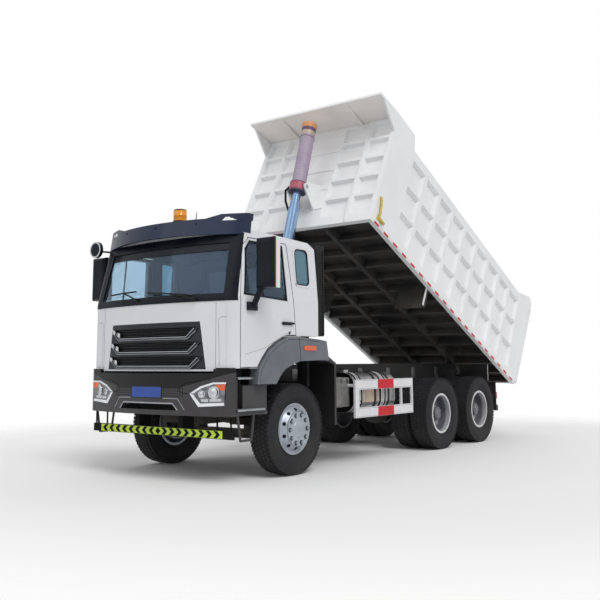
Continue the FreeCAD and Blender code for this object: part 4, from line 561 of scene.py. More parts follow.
def add_ring(mesh, centre, axis, outer, inner, thickness, sides=48):
    """A flat ring with square edges, made by turning its section."""
    axis = Vector(axis).normalized()
    side = axis.orthogonal().normalized()
    centre = Vector(centre)
    section = ((inner, 0), (outer, 0), (outer, thickness), (inner, thickness))
    corners = [mesh.verts.new(centre + side * radius + axis * lift) for radius, lift in section]
    spin_loop(mesh, corners, centre, axis, sides)


def spin_loop(mesh, verts, centre, axis, steps):
    """Join points to a closed section and turn it about an axis."""
    edges = [mesh.edges.new(pair) for pair in zip(verts, verts[1:] + verts[:1])]
    bmesh.ops.spin(mesh, geom=verts + edges, cent=centre, axis=axis, angle=math.tau, steps=steps,
                   use_merge=True)


def spin_profile(mesh, centre, profile, side=1, steps=96):
    """Turn a closed (outward, radius) profile about a wheel's axle."""
    verts = [mesh.verts.new(centre + Vector((side * out, 0, radius))) for out, radius in profile]
    spin_loop(mesh, verts, centre, (1, 0, 0), steps)


def make_piece(name, mesh, body, material, smooth=40):
    bmesh.ops.remove_doubles(mesh, verts=mesh.verts, dist=0.00001)
    bmesh.ops.recalc_face_normals(mesh, faces=mesh.faces)
    data = bpy.data.meshes.new(name)
    mesh.to_mesh(data)
    mesh.free()
    data.materials.append(material)
    for face in data.polygons:
        face.use_smooth = smooth > 0
    if smooth:
        data.set_sharp_from_angle(angle=math.radians(smooth))
    piece = bpy.data.objects.new(name, data)
    bpy.context.scene.collection.objects.link(piece)
    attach(piece, body)
    return piece


def tip_bed(mesh):
    """Turn what was made in the lowered bed's place about the hinge to its raised place."""
    bmesh.ops.rotate(mesh, verts=mesh.verts, cent=BED_HINGE, matrix=BED_TURN)


# Tyres with road tread

TREAD_LUGS = 66
LUG_DEPTH = 0.013
LUG_SINK = 0.005
LUG_SKEW = 12
# Each row's place across the tread, its width, its share of the pitch, its shift along it and its lift.
TREAD_ROWS = (
    (-0.113, 0.044, 0.80, 0.0, -0.005), (-0.058, 0.050, 0.84, 0.5, 0.0), (0.0, 0.056, 0.86, 0.0, 0.0),
    (0.058, 0.050, 0.84, 0.5, 0.0), (0.113, 0.044, 0.80, 0.0, -0.005),
)


def add_tyre(mesh, x, y):
    """Turn the carcass and set rows of tread blocks round it."""
    centre = at(x, y, WHEEL_Z)
    half = TYRE_WIDTH / 2
    base = TYRE_RADIUS - LUG_DEPTH
    spin_profile(mesh, centre, [
        (-0.098, 0.288), (-0.102, 0.312), (-0.128, 0.335), (-half + 0.004, 0.39), (-half + 0.001, 0.425),
        (-half + 0.008, 0.465), (-0.128, base - 0.012), (-0.100, base - 0.001), (0, base),
        (0.100, base - 0.001), (0.128, base - 0.012), (half - 0.008, 0.465), (half - 0.001, 0.425),
        (half - 0.004, 0.39), (0.128, 0.335), (0.102, 0.312), (0.098, 0.288),
    ], steps=72)
    pitch = math.tau / TREAD_LUGS
    for dx, width, share, offset, lift in TREAD_ROWS:
        length = pitch * TYRE_RADIUS * share
        for index in range(TREAD_LUGS):
            skew = Matrix.Rotation(math.radians(LUG_SKEW if dx >= 0 else -LUG_SKEW), 4, "Z")
            turn = Matrix.Rotation((index + offset) * pitch, 4, "X")
            place = turn @ Matrix.Translation((dx, 0, base + LUG_DEPTH / 2 - LUG_SINK + lift)) @ skew
            shape = Matrix.Diagonal((width, length, LUG_DEPTH + 0.008, 1))
            bmesh.ops.create_cube(mesh, size=1.0, matrix=Matrix.Translation(centre) @ place @ shape)


def nut_feet(face_x, y, side):
    """Where a wheel's nuts stand on its disc."""
    for index in range(NUT_COUNT):
        angle = math.tau * (index + 0.5) / NUT_COUNT
        yield at(side * face_x, y + BOLT_CIRCLE * math.sin(angle), WHEEL_Z + BOLT_CIRCLE * math.cos(angle))


def add_nut_gap_shade(mesh, face_x, y, side):
    """Painted shade: near-black discs in the gaps round the nuts."""
    out = Vector((side, 0, 0))
    for foot in nut_feet(face_x, y, side):
        add_rod(mesh, foot - out * 0.004, foot + out * 0.004, 0.027, 20)


def add_lug_nuts(mesh, face_x, y, side):
    out = Vector((side, 0, 0))
    for foot in nut_feet(face_x, y, side):
        add_rod(mesh, foot, foot + out * 0.022, 0.0180, 6)
        add_rod(mesh, foot + out * 0.022, foot + out * 0.030, 0.011, 10)


def dress_wheels():
    for side_name, side in SIDES:
        body = "wheel_front_" + side_name
        mesh = bmesh.new()
        add_tyre(mesh, side * FRONT_TRACK / 2, 0)
        piece = make_piece("road_tyre_front_" + side_name, mesh, body, tyre_rubber)
        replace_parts(piece, "tyre_front_" + side_name)
        mesh = bmesh.new()
        add_lug_nuts(mesh, FRONT_NUT_FACE, 0, side)
        make_piece("lug_nuts_front_" + side_name, mesh, body, wheel_silver)
        # The gaps round the front nuts are painted shade.
        mesh = bmesh.new()
        add_nut_gap_shade(mesh, FRONT_NUT_FACE, 0, side)
        make_piece("nut_gap_shade_front_" + side_name, mesh, body, deep_black)
        for place, y in DRIVE_AXLES:
            wheel = "%s_%s" % (place, side_name)
            mesh = bmesh.new()
            for row in (-1, 1):
                add_tyre(mesh, side * (REAR_TRACK + row * DUAL_SPACING) / 2, y)
            piece = make_piece("road_tyres_" + wheel, mesh, "wheel_" + wheel, tyre_rubber)
            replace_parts(piece, "tyres_" + wheel)
            mesh = bmesh.new()
            add_lug_nuts(mesh, REAR_NUT_FACE, y, side)
            make_piece("lug_nuts_" + wheel, mesh, "wheel_" + wheel, nut_steel)


# Sheets and strips laid on the cab's surfaces


def corner_arc(width, depth):
    """Centre and radius of the arc that rounds a front corner, from its two ends and a point between."""
    ax, ay = width * 0.72, depth * 0.30
    size = 2 * (ax * depth - ay * width)
    first = ax * ax + ay * ay
    second = width * width + depth * depth
    cx = (depth * first - ay * second) / size
    cy = (ax * second - width * first) / size
    return cx, cy, math.hypot(cx, cy)


def bow(x, corner_depth, corner_width):
    """How far back the bowed front stands at a distance from the middle."""
    reach = min(abs(x), CAB_CORNER_X)
    depth = BOW_RADIUS - math.sqrt(BOW_RADIUS**2 - reach**2)
    beyond = min(max(abs(x) - CAB_CORNER_X, 0), corner_width)
    if beyond:
        cx, cy, radius = corner_arc(corner_width, corner_depth)
        depth += cy - math.sqrt(max(radius**2 - (beyond - cx) ** 2, 0))
    return depth


def on_front(lift=0.0, face=CAB_FRONT):
    """Places an outline's (x, z) on the front of the cab or bumper, lifted off it by lift."""

    def place(co):
        lean = SCREEN_SLOPE * max(0.0, co.z - SCREEN_BASE) if face == CAB_FRONT else 0.0
        corner = CAB_CORNER if face == CAB_FRONT else BUMPER_CORNER
        return at(co.x, face + bow(co.x, *corner) + lean - lift + co.y, co.z)

    return place


def front_point(x, z, lift=0.0, face=CAB_FRONT):
    return on_front(lift, face)(Vector((x, 0, z)))


def on_side(side, lift=0.0, face=CAB_HALF_WIDTH):
    """Places an outline's (y, z) on a side; the cab's own side leans in above the belt."""

    def place(co):
        lean = (max(co.z, BELT_Z) - BELT_Z) * SIDE_LEAN if face == CAB_HALF_WIDTH else 0.0
        return at(side * (face - lean + lift - co.y), co.x, co.z)

    return place


def cut_flat(part, place, normal):
    """Cut a flat outline along a plane, keeping both halves."""
    geometry = part.verts[:] + part.edges[:] + part.faces[:]
    bmesh.ops.bisect_plane(part, geom=geometry, plane_co=place, plane_no=normal, dist=1e-6)


def add_sheet(mesh, outline, thickness, place, step=0.08):
    """A plate whose outline is cut into strips, thickened and laid on a surface."""
    part = bmesh.new()
    part.faces.new([part.verts.new((across, 0, up)) for across, up in outline])
    low = min(across for across, up in outline)
    high = max(across for across, up in outline)
    cuts = int((high - low) / step)
    for index in range(cuts):
        cut_flat(part, (low + (high - low) * (index + 1) / (cuts + 1), 0, 0), (1, 0, 0))
    for level in (BELT_Z, SCREEN_BASE):
        cut_flat(part, (0, 0, level), (0, 0, 1))
    grown = bmesh.ops.extrude_face_region(part, geom=part.faces[:])
    for element in grown["geom"]:
        if isinstance(element, bmesh.types.BMVert):
            element.co.y = thickness
    for vert in part.verts:
        vert.co = place(vert.co)
    merge_in(mesh, part)


def merge_in(mesh, part):
    data = bpy.data.meshes.new("part")
    part.to_mesh(data)
    part.free()
    mesh.from_mesh(data)
    bpy.data.meshes.remove(data)


def strip_outline(points, width):
    """The outline of a strip of even width along a line of (across, up) points."""
    left = []
    right = []
    for index, point in enumerate(points):
        before = Vector(points[max(index - 1, 0)])
        after = Vector(points[min(index + 1, len(points) - 1)])
        along_line = (after - before).normalized()
        out = Vector((-along_line.y, along_line.x)) * width / 2
        left.append(tuple(Vector(point) + out))
        right.append(tuple(Vector(point) - out))
    return left + right[::-1]


def rectangle(low_a, high_a, low_b, high_b):
    return [(low_a, low_b), (high_a, low_b), (high_a, high_b), (low_a, high_b)]


def to_side(side, points):
    """Points given for the left side, taken to either side."""
    return [(side * x, z) for x, z in points]


def rounded(low_a, high_a, low_b, high_b, radius, steps=4):
    """A rectangle's outline with rounded corners."""
    outline = []
    for centre_a, centre_b, first in (
        (high_a - radius, low_b + radius, -90), (high_a - radius, high_b - radius, 0),
        (low_a + radius, high_b - radius, 90), (low_a + radius, low_b + radius, 180),
    ):
        for index in range(steps + 1):
            angle = math.radians(first + 90 * index / steps)
            outline.append((centre_a + radius * math.cos(angle), centre_b + radius * math.sin(angle)))
    return outline


def circle(centre_a, centre_b, radius, sides=20):
    turns = [math.tau * index / sides for index in range(sides)]
    return [(centre_a + radius * math.cos(turn), centre_b + radius * math.sin(turn)) for turn in turns]


def add_frame(mesh, outer, inner, thickness, place, step=0.08):
    """A flat ring between two outlines with the same number of corners."""
    count = len(outer)
    for index in range(count):
        follow = (index + 1) % count
        add_sheet(mesh, [outer[index], outer[follow], inner[follow], inner[index]], thickness, place, step)


def add_tube(mesh, points, radius, sides=12):
    """A bent rod with a ball at each bend."""
    for start, end in zip(points, points[1:]):
        add_rod(mesh, start, end, radius, sides)
    for point in points[1:-1]:
        place = Matrix.Translation(point)
        bmesh.ops.create_uvsphere(mesh, u_segments=sides, v_segments=8, radius=radius * 1.001, matrix=place)


# Cab front


def dress_screen():
    mesh = bmesh.new()
    outer = [(-1.205, 2.012), (1.205, 2.012), (1.160, 2.790), (-1.160, 2.790)]
    inner = [(-1.045, 2.098), (1.045, 2.098), (1.005, 2.690), (-1.005, 2.690)]
    add_frame(mesh, outer, inner, 0.012, on_front(0.007), step=0.03)
    make_piece("screen_border", mesh, "chassis", mirror_black)
    mesh = bmesh.new()
    outline = [(-1.03, 2.60), (1.03, 2.60), (1.022, 2.72), (-1.022, 2.72)]
    add_sheet(mesh, outline, 0.004, on_front(-0.010))
    make_piece("screen_tint_band", mesh, "chassis", tint_band)


# Each blade's line and its pivot, in (x, z).
WIPERS = (
    ([(-0.81, 2.165), (-0.55, 2.175), (-0.28, 2.180)], (-0.23, 2.075)),
    ([(-0.05, 2.150), (0.28, 2.125), (0.62, 2.090)], (0.69, 2.045)),
)


def dress_wipers():
    """Each wiper's holder, rubber, pivot and bent arm, from its blade's line and its pivot's place."""
    mesh = bmesh.new()
    for blade, (pivot_x, pivot_z) in WIPERS:
        holder = [front_point(x, z, 0.030) for x, z in blade]
        add_tube(mesh, holder, 0.008, 8)
        add_tube(mesh, [front_point(x, z - 0.004, 0.016) for x, z in blade], 0.006, 8)
        head = front_point(pivot_x, pivot_z, 0.044)
        add_rod(mesh, front_point(pivot_x, pivot_z), head, 0.018)
        elbow = front_point((pivot_x + blade[1][0]) / 2, (pivot_z + blade[1][1]) / 2 + 0.01, 0.047)
        add_tube(mesh, [head, elbow, holder[1]], 0.010, 8)
    make_piece("wipers", mesh, "chassis", black_plastic)


VISOR_FRONT = -1.290
VISOR_END = 1.150
VISOR_DEPTH = 0.305
VISOR_LOW = 2.780
VISOR_HEIGHT = 0.245
VISOR_LEAN = 0.060
VISOR_RADIUS = (VISOR_END**2 + VISOR_DEPTH**2) / (2 * VISOR_DEPTH)


def on_visor(lift=0.0):
    """Places an outline's (x, z) on the visor's bowed and leaning front."""

    def place(co):
        rise = (co.z - VISOR_LOW) / VISOR_HEIGHT
        back = VISOR_RADIUS - math.sqrt(VISOR_RADIUS**2 - co.x**2)
        return at(co.x, VISOR_FRONT + back + VISOR_LEAN * rise - lift + co.y, co.z)

    return place


def dress_visor():
    mesh = bmesh.new()
    for side in (-1, 1):
        outline = [(0.915, 2.945), (1.070, 2.945), (1.085, 2.985), (0.945, 2.985)]
        add_sheet(mesh, to_side(side, outline)[::side], 0.012, on_visor(0.008))
    make_piece("visor_lamps", mesh, "chassis", white_lens)
    mesh = bmesh.new()
    for x in (-1.02, -0.60, 0.0, 0.60, 1.10):
        centre = on_visor()(Vector((x, 0, 2.925)))
        add_rod(mesh, centre, centre + Vector((0, -0.006, 0)), 0.013, 12)
    make_piece("visor_bolts", mesh, "chassis", black_plastic)


BEACON_RADIUS = 0.0835
BEACON_HEIGHT = 0.150


def dress_roof():
    mesh = bmesh.new()
    foot = at(0.14, -0.75, 2.845)
    top = foot + Vector((0, 0, 0.03))
    add_rod(mesh, foot, top, 0.025, 16)
    add_rod(mesh, top, foot + Vector((0, 0.05, 0.34)), 0.012, 12, 0.004)
    make_piece("roof_antenna", mesh, "chassis", black_plastic)
    mesh = bmesh.new()
    low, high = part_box("beacon")
    centre = Vector(((low[0] + high[0]) / 2, (low[1] + high[1]) / 2, high[2] - BEACON_HEIGHT))
    section = [
        (BEACON_RADIUS, 0.002), (BEACON_RADIUS, 0.060), (BEACON_RADIUS + 0.002, 0.063),
        (BEACON_RADIUS + 0.002, 0.070), (BEACON_RADIUS, 0.073), (BEACON_RADIUS, 0.128),
        (0.078, 0.142), (0.064, 0.1495), (0.0, BEACON_HEIGHT),
    ]
    verts = [mesh.verts.new(centre + Vector((radius, 0, rise))) for radius, rise in section]
    edges = [mesh.edges.new(pair) for pair in zip(verts, verts[1:])]
    bmesh.ops.spin(mesh, geom=verts + edges, cent=centre, axis=(0, 0, 1), angle=math.tau, steps=48,
                   use_merge=True)
    make_piece("beacon_lens", mesh, "chassis", beacon_amber)


GRILLE_LOW = 1.255
GRILLE_HIGH = 1.790
GRILLE_FOOT_HALF_WIDTH = 0.830
GRILLE_HEAD_HALF_WIDTH = 0.745
GRILLE_EDGE = 0.045
GRILLE_BARS = 3
BAR_GAP = 0.062
BAR_END_SLANT = 0.130


def grille_bar_lines():
    """Half width, low and high line of each of the grille's bars."""
    row = (GRILLE_HIGH - GRILLE_LOW - GRILLE_EDGE) / GRILLE_BARS
    for index in range(GRILLE_BARS):
        low = GRILLE_LOW + GRILLE_EDGE + index * row
        high = low + row - BAR_GAP
        share = (high - GRILLE_LOW) / (GRILLE_HIGH - GRILLE_LOW)
        narrowing = GRILLE_HEAD_HALF_WIDTH - GRILLE_FOOT_HALF_WIDTH
        yield GRILLE_FOOT_HALF_WIDTH + narrowing * share - GRILLE_EDGE, low, high


def trough_line(half, inner, high, low):
    """A line that drops from the bar's ends to its middle stretch."""
    return [(-half, high), (-inner, low), (inner, low), (half, high)]


def dress_grille():
    bright = bmesh.new()
    dark = bmesh.new()
    squares = bmesh.new()
    net = bmesh.new()
    for half, low, high in grille_bar_lines():
        inner = half - BAR_END_SLANT
        top = trough_line(half - 0.03, inner - 0.012, high - 0.012, low - 0.008)
        add_sheet(bright, strip_outline(top, 0.009), 0.006, on_front(0.020))
        bottom = trough_line(half - 0.005, inner + 0.006, high - 0.040, low - 0.030)
        add_sheet(bright, strip_outline(bottom, 0.006), 0.005, on_front(0.0195))
        for x, drop in ((-half - 0.005, 0), (-half + 0.105, 0.035)):
            foot = high - drop
            outline = [(x, foot - 0.045), (x + 0.050, foot - 0.060), (x + 0.048, foot - 0.010),
                       (x - 0.002, foot + 0.004)]
            add_sheet(squares, outline, 0.006, on_front(0.022))
        add_sheet(net, [(-inner, low), (inner, low), (half, high), (-half, high)], 0.003, on_front(-0.024))
        for index in range(3):
            level = low + (high - low) * (index + 0.5) / 3
            reach = inner + (half - inner) * (index + 0.5) / 3 - 0.01
            add_sheet(dark, rectangle(-reach, reach, level - 0.003, level + 0.003), 0.006, on_front(-0.014))
    make_piece("grille_trim_lines", bright, "front_lid", trim_silver)
    make_piece("grille_squares", squares, "front_lid", bright_chrome)
    make_piece("grille_mesh", net, "front_lid", net_black)
    make_piece("grille_slats", dark, "front_lid", grille_plastic)
    seams = bmesh.new()
    for side in (-1, 1):
        line = [(1.000, 1.30), (0.992, 1.62), (0.985, 1.80), (1.02, 1.835), (1.10, 1.83)]
        add_sheet(seams, strip_outline(to_side(side, line), 0.004)[::side], 0.002, on_front(SEAM_LIFT))
    make_piece("cab_corner_seams", seams, "chassis", seam_grey)


BUMPER_FRONT = -1.345


def flat_front(co):
    """Places an outline's (x, z) in the flat plane that touches the bumper's bowed front."""
    return at(co.x, BUMPER_FRONT + co.y, co.z)


def dress_bumper():
    # Painted shade: near-black dots on the bumper where its perforations are.
    holes = bmesh.new()
    for side in (-1, 1):
        for column in range(9):
            for row in range(4):
                outline = circle(side * (0.285 + column * 0.034), 0.958 + row * 0.028, 0.0080, 8)[::side]
                add_sheet(holes, outline, 0.002, on_front(SEAM_LIFT, BUMPER_FRONT))
    make_piece("bumper_perforation_shade", holes, "chassis", deep_black)
    plate = bmesh.new()
    add_sheet(plate, rounded(-0.243, 0.243, 0.940, 1.056, 0.008), 0.006, flat_front)
    make_piece("blank_plate", plate, "chassis", plate_blue)
    rim = bmesh.new()
    outer = rounded(-0.252, 0.252, 0.931, 1.065, 0.010)
    inner = rounded(-0.2435, 0.2435, 0.9395, 1.0565, 0.008)
    add_frame(rim, outer, inner, 0.008, flat_front)
    make_piece("plate_frame", rim, "chassis", grille_plastic)
    trim = bmesh.new()
    inner = [(-0.486, 0.803), (-0.416, 0.8765), (0.416, 0.8765), (0.486, 0.803)]
    add_sheet(trim, strip_outline(inner, 0.016), 0.012, on_front(0.0, BUMPER_FRONT))
    for side in (-1, 1):
        outer = to_side(side, [(0.590, 0.806), (0.492, 0.930), (0.275, 0.932)])
        add_sheet(trim, strip_outline(outer, 0.008)[::side], 0.006, on_front(0.004, BUMPER_FRONT))
    make_piece("mouth_trim", trim, "chassis", trim_silver)
    # Painted shade: near-black sheets set back in the openings under the grille and in the bumper's mouth.
    backing = bmesh.new()
    add_sheet(backing, rectangle(-0.93, 0.93, 1.120, 1.262), 0.004, on_front(-0.120))
    add_sheet(backing, rectangle(-0.60, 0.60, 0.770, 0.930), 0.004, on_front(-0.150))
    make_piece("opening_shade_sheets", backing, "chassis", deep_black)
    # Painted shade: near-black lines along the bumper's creases.
    lines = bmesh.new()
    for side in (-1, 1):
        line = to_side(side, [(0.64, 0.985), (0.52, 1.005), (0.50, 1.045), (0.60, 1.105), (0.93, 1.150)])
        add_sheet(lines, strip_outline(line, 0.006)[::side], 0.003, on_front(0.0015, BUMPER_FRONT))
    make_piece("bumper_crease_shade", lines, "chassis", deep_black)


LAMP_BACK = [(0.66, 0.986), (0.81, 1.065), (0.965, 1.105), (1.122, 1.105), (1.105, 0.872), (0.77, 0.855)]
LAMP_LOW_BAND = [(0.648, 0.992), (0.700, 0.978), (0.792, 0.882), (1.100, 0.895), (1.104, 0.866),
                 (0.770, 0.846)]
LAMP_TOP_BAND = [
    (0.648, 0.992), (0.80, 1.072), (0.96, 1.115), (1.128, 1.115),
    (1.126, 1.098), (0.965, 1.096), (0.815, 1.052), (0.70, 0.992),
]
LAMP_AMBER = [(0.985, 1.092), (1.118, 1.094), (1.112, 1.030), (1.045, 1.026)]
LAMP_INNER_SQUARE = [(0.800, 0.930), (0.812, 0.900), (0.895, 0.903), (0.895, 0.933)]
LAMP_OUTER_SQUARE = [(0.915, 0.934), (0.915, 0.904), (1.075, 0.910), (1.060, 0.938)]
LAMP_SINK = 0.004
# Each round lamp's place in (x, z) and its radius.
LAMP_ROUNDS = ((0.812, 0.985, 0.041), (0.968, 1.004, 0.068))


def dress_headlamps():
    bands = bmesh.new()
    amber = bmesh.new()
    squares = bmesh.new()
    rings = bmesh.new()
    lenses = bmesh.new()
    back = bmesh.new()
    surface = on_front(-LAMP_SINK, BUMPER_FRONT)
    for side in (-1, 1):
        add_sheet(back, to_side(side, LAMP_BACK)[::side], 0.002, on_front(-0.0055, BUMPER_FRONT))
        for mesh, outline in (
            (bands, LAMP_LOW_BAND), (bands, LAMP_TOP_BAND), (amber, LAMP_AMBER),
            (squares, LAMP_INNER_SQUARE), (squares, LAMP_OUTER_SQUARE),
        ):
            add_sheet(mesh, to_side(side, outline)[::side], 0.004, surface)
        out = Vector((side * 0.35, -1, 0)).normalized()
        for x, z, radius in LAMP_ROUNDS:
            centre = front_point(side * x, z, -LAMP_SINK, BUMPER_FRONT)
            front = centre + out * 0.001
            add_ring(rings, centre - out * 0.004, out, radius, radius * 0.80, 0.009, 40)
            add_rod(lenses, centre - out * 0.004, front, radius * 0.80, 32)
            add_rod(lenses, front, centre + out * 0.0035, radius * 0.62, 32, radius * 0.5)
    make_piece("headlamp_backs", back, "chassis", lamp_dark)
    make_piece("headlamp_bands", bands, "chassis", white_lens)
    make_piece("headlamp_amber", amber, "chassis", orange_lens)
    make_piece("headlamp_squares", squares, "chassis", bright_chrome)
    make_piece("headlamp_rings", rings, "chassis", bright_chrome)
    make_piece("headlamp_lenses", lenses, "chassis", lens_grey)


UNDERRUN_Z = 0.545
UNDERRUN_FRONT = -1.150


CHEVRON_PITCH = 0.1185
CHEVRON = ((-0.045, 0.039), (0.010, 0.039), (0.052, 0), (0.010, -0.039), (-0.045, -0.039), (-0.003, 0))


def on_underrun(lift):
    """Places an outline's (x, z) on the underrun bar's front, z measured from the bar's middle."""

    def place(co):
        return at(co.x, UNDERRUN_FRONT - lift + co.y, UNDERRUN_Z + co.z)

    return place


def dress_underrun():
    """A lime sheet with dark chevrons that point away from the middle, and the bar's hangers."""
    sheet = bmesh.new()
    add_sheet(sheet, rectangle(-1.02, 1.02, -0.042, 0.042), 0.003, on_underrun(0.003), step=0.5)
    make_piece("underrun_sheet", sheet, "chassis", lime_paint)
    marks = bmesh.new()
    proud = on_underrun(0.0045)
    add_sheet(marks, [(-0.045, 0), (0, -0.040), (0.045, 0), (0, 0.040)], 0.002, proud)
    for side in (-1, 1):
        for index in range(8):
            start = 0.105 + index * CHEVRON_PITCH
            outline = [(side * (start + x), z) for x, z in CHEVRON][::side]
            add_sheet(marks, outline, 0.002, proud, step=0.5)
    make_piece("underrun_chevrons", marks, "chassis", deep_black)
    hangers = bmesh.new()
    for side in (-1, 1):
        for x in (1.135, 0.93):
            low = at(side * x - 0.008, UNDERRUN_FRONT + 0.006, UNDERRUN_Z + 0.02)
            add_block(hangers, low, at(side * x + 0.008, UNDERRUN_FRONT + 0.022, 0.775), 0.002)
    make_piece("underrun_hangers", hangers, "chassis", deep_black)


# Cab sides


def dress_doors():
    for name, side in SIDES:
        body = "door_" + name
        mesh = bmesh.new()
        outer = [(-1.050, 2.080), (-0.280, 2.045), (-0.315, 2.708), (-0.912, 2.708), (-0.990, 2.612)]
        inner = [(-1.030, 2.100), (-0.300, 2.065), (-0.335, 2.690), (-0.905, 2.690), (-0.970, 2.600)]
        add_frame(mesh, outer, inner, 0.012, on_side(side, 0.004))
        post = strip_outline([(-0.700, 2.085), (-0.690, 2.690)], 0.022)
        add_sheet(mesh, post, 0.010, on_side(side, -0.014))
        make_piece("door_seal_" + name, mesh, body, mirror_black)
        mesh = bmesh.new()
        add_sheet(mesh, rounded(-0.375, -0.185, 1.762, 1.802, 0.018), 0.003, on_side(side, 0.0015))
        make_piece("door_handle_well_" + name, mesh, body, grille_plastic)
        mesh = bmesh.new()
        bar = ((1.243, -0.385, 1.780), (1.266, -0.360, 1.784), (1.268, -0.190, 1.786), (1.243, -0.170, 1.782))
        add_tube(mesh, [at(side * x, y, z) for x, y, z in bar], 0.011, 12)
        add_rod(mesh, at(side * 1.238, -0.240, 1.672), at(side * 1.246, -0.240, 1.672), 0.016, 20)
        make_piece("door_handle_" + name, mesh, body, mirror_black)
        mesh = bmesh.new()
        crease = strip_outline([(-1.02, 1.42), (-0.70, 1.49), (-0.20, 1.70)], 0.004)
        add_sheet(mesh, crease, 0.002, on_side(side, SEAM_LIFT))
        make_piece("door_crease_" + name, mesh, body, seam_grey)
        dress_quarter_window(name, side)


def dress_quarter_window(name, side):
    """The fixed window behind a door: painted seal, rubber and pane."""
    mesh = bmesh.new()
    outer = rounded(-0.115, 0.205, 2.230, 2.730, 0.075)
    inner = rounded(-0.082, 0.172, 2.262, 2.698, 0.060)
    add_frame(mesh, outer, inner, 0.014, on_side(side, 0.005))
    make_piece("quarter_seal_" + name, mesh, "chassis", white_paint)
    mesh = bmesh.new()
    outer = rounded(-0.088, 0.178, 2.256, 2.704, 0.064)
    inner = rounded(-0.074, 0.164, 2.270, 2.690, 0.054)
    add_frame(mesh, outer, inner, 0.014, on_side(side, 0.0065))
    make_piece("quarter_rubber_" + name, mesh, "chassis", mirror_black)
    mesh = bmesh.new()
    add_sheet(mesh, rounded(-0.078, 0.168, 2.266, 2.694, 0.056), 0.005, on_side(side, -0.006))
    make_piece("quarter_pane_" + name, mesh, "chassis", teal_glass)


MIRROR_X = 1.435
MIRROR_HALF_WIDTH = 0.098


def dress_mirrors():
    for name, side in SIDES:
        mesh = bmesh.new()
        x = side * MIRROR_X
        for low, high in ((2.400, 2.690), (2.180, 2.380)):
            corner = at(x - MIRROR_HALF_WIDTH, -0.812, low)
            add_block(mesh, corner, at(x + MIRROR_HALF_WIDTH, -0.8085, high), 0.001)
        make_piece("mirror_glass_" + name, mesh, "door_" + name, mirror_glass)
    mesh = bmesh.new()
    centre = at(-1.260, -1.140, 2.790)
    add_ring(mesh, centre + Vector((0, 0.003, 0)), (0, -1, 0), 0.1050, 0.086, 0.006, 40)
    make_piece("round_mirror_rim", mesh, "chassis", bright_chrome)


# Fenders, steps and side equipment


FENDER_FACE = 1.262
WHEEL_ARCH_LINE = [
    (-0.800, 1.100), (-0.768, 1.252), (-0.705, 1.335), (-0.604, 1.440),
    (-0.436, 1.538), (-0.275, 1.594), (-0.02, 1.598), (0.330, 1.578),
]


def dress_fenders():
    seam = bmesh.new()
    lamp = bmesh.new()
    for side in (1, -1):
        place = on_side(side, SEAM_LIFT, FENDER_FACE)
        add_sheet(seam, strip_outline([(-0.085, 1.622), (-0.060, 1.480), (-0.045, 1.345)], 0.005), 0.002,
                  place)
        add_sheet(seam, strip_outline(WHEEL_ARCH_LINE, 0.004), 0.002, place)
        marker = rounded(0.015, 0.255, 1.470, 1.525, 0.018)
        add_sheet(lamp, marker, 0.010, on_side(side, 0.008, FENDER_FACE))
    make_piece("fender_seams", seam, "chassis", deep_black)
    make_piece("fender_markers", lamp, "chassis", orange_lens)


def dress_steps():
    """Three bright strips along each step and one down its edge."""
    bright = bmesh.new()
    front = -1.125
    for side in (1, -1):
        for top, rear in ((1.1655, -0.860), (0.8205, -0.665)):
            for row in range(3):
                x = 1.040 + row * 0.070
                add_side_block(bright, side, (x, front, top - 0.003), (x + 0.030, rear, top + 0.003), 0.001)
            add_side_block(bright, side, (1.218, front, top - 0.020), (1.2262, rear, top - 0.002), 0.001)
    make_piece("step_treads", bright, "chassis", trim_silver)


TANK_LOW_X = 0.540
TANK_HIGH_X = 1.130
TANK_LOW_Z = 0.660
TANK_HIGH_Z = 1.185
TANK_CORNER = 0.170
TANK_LABEL = rounded(1.500, 1.900, 0.795, 1.045, 0.02)


def tank_section(grow):
    """The tank's outline in (x, z), grown outwards."""
    return rounded(
        TANK_LOW_X - grow, TANK_HIGH_X + grow, TANK_LOW_Z - grow, TANK_HIGH_Z + grow, TANK_CORNER + grow, 6
    )


def add_hoop(mesh, y, half_width, grow):
    """A band round the tank: four outlines joined ring to ring."""
    outer = tank_section(grow)
    inner = tank_section(0.0005)
    front = y - half_width
    rear = y + half_width
    rings = []
    for place, points in ((front, outer), (rear, outer), (rear, inner), (front, inner)):
        rings.append([mesh.verts.new(at(x, place, z)) for x, z in points])
    for pair in zip(rings, rings[1:] + rings[:1]):
        edges = []
        for ring in pair:
            for ends in zip(ring, ring[1:] + ring[:1]):
                edges.append(mesh.edges.get(ends) or mesh.edges.new(ends))
        bmesh.ops.bridge_loops(mesh, edges=edges)


def dress_tank():
    ribs = bmesh.new()
    for y in (1.300, 1.320, 1.560, 1.590, 1.620, 1.860, 2.120, 2.150, 2.180, 2.300):
        add_hoop(ribs, y, 0.006, 0.0035)
    make_piece("tank_ribs", ribs, "chassis", brushed_tank)
    rubber = bmesh.new()
    for y in (1.345, 1.455, 1.935, 2.055):
        add_hoop(rubber, y, 0.014, 0.0075)
    make_piece("tank_strap_rubber", rubber, "chassis", deep_black)
    pale = bmesh.new()
    for y in (1.372, 1.428, 1.964, 2.026):
        add_hoop(pale, y, 0.008, 0.0065)
    make_piece("tank_strap_edges", pale, "chassis", stripe_white)
    label = bmesh.new()
    add_sheet(label, TANK_LABEL, 0.002, on_side(1, SEAM_LIFT, TANK_HIGH_X))
    make_piece("tank_side_label", label, "chassis", tank_beige)
    cap = bmesh.new()
    foot = at(0.860, 1.420, 1.180)
    neck = at(0.860, 1.420, 1.235)
    add_rod(cap, foot, neck, 0.045, 24)
    add_rod(cap, neck, at(0.860, 1.420, 1.250), 0.052, 24)
    make_piece("tank_cap", cap, "chassis", black_plastic)


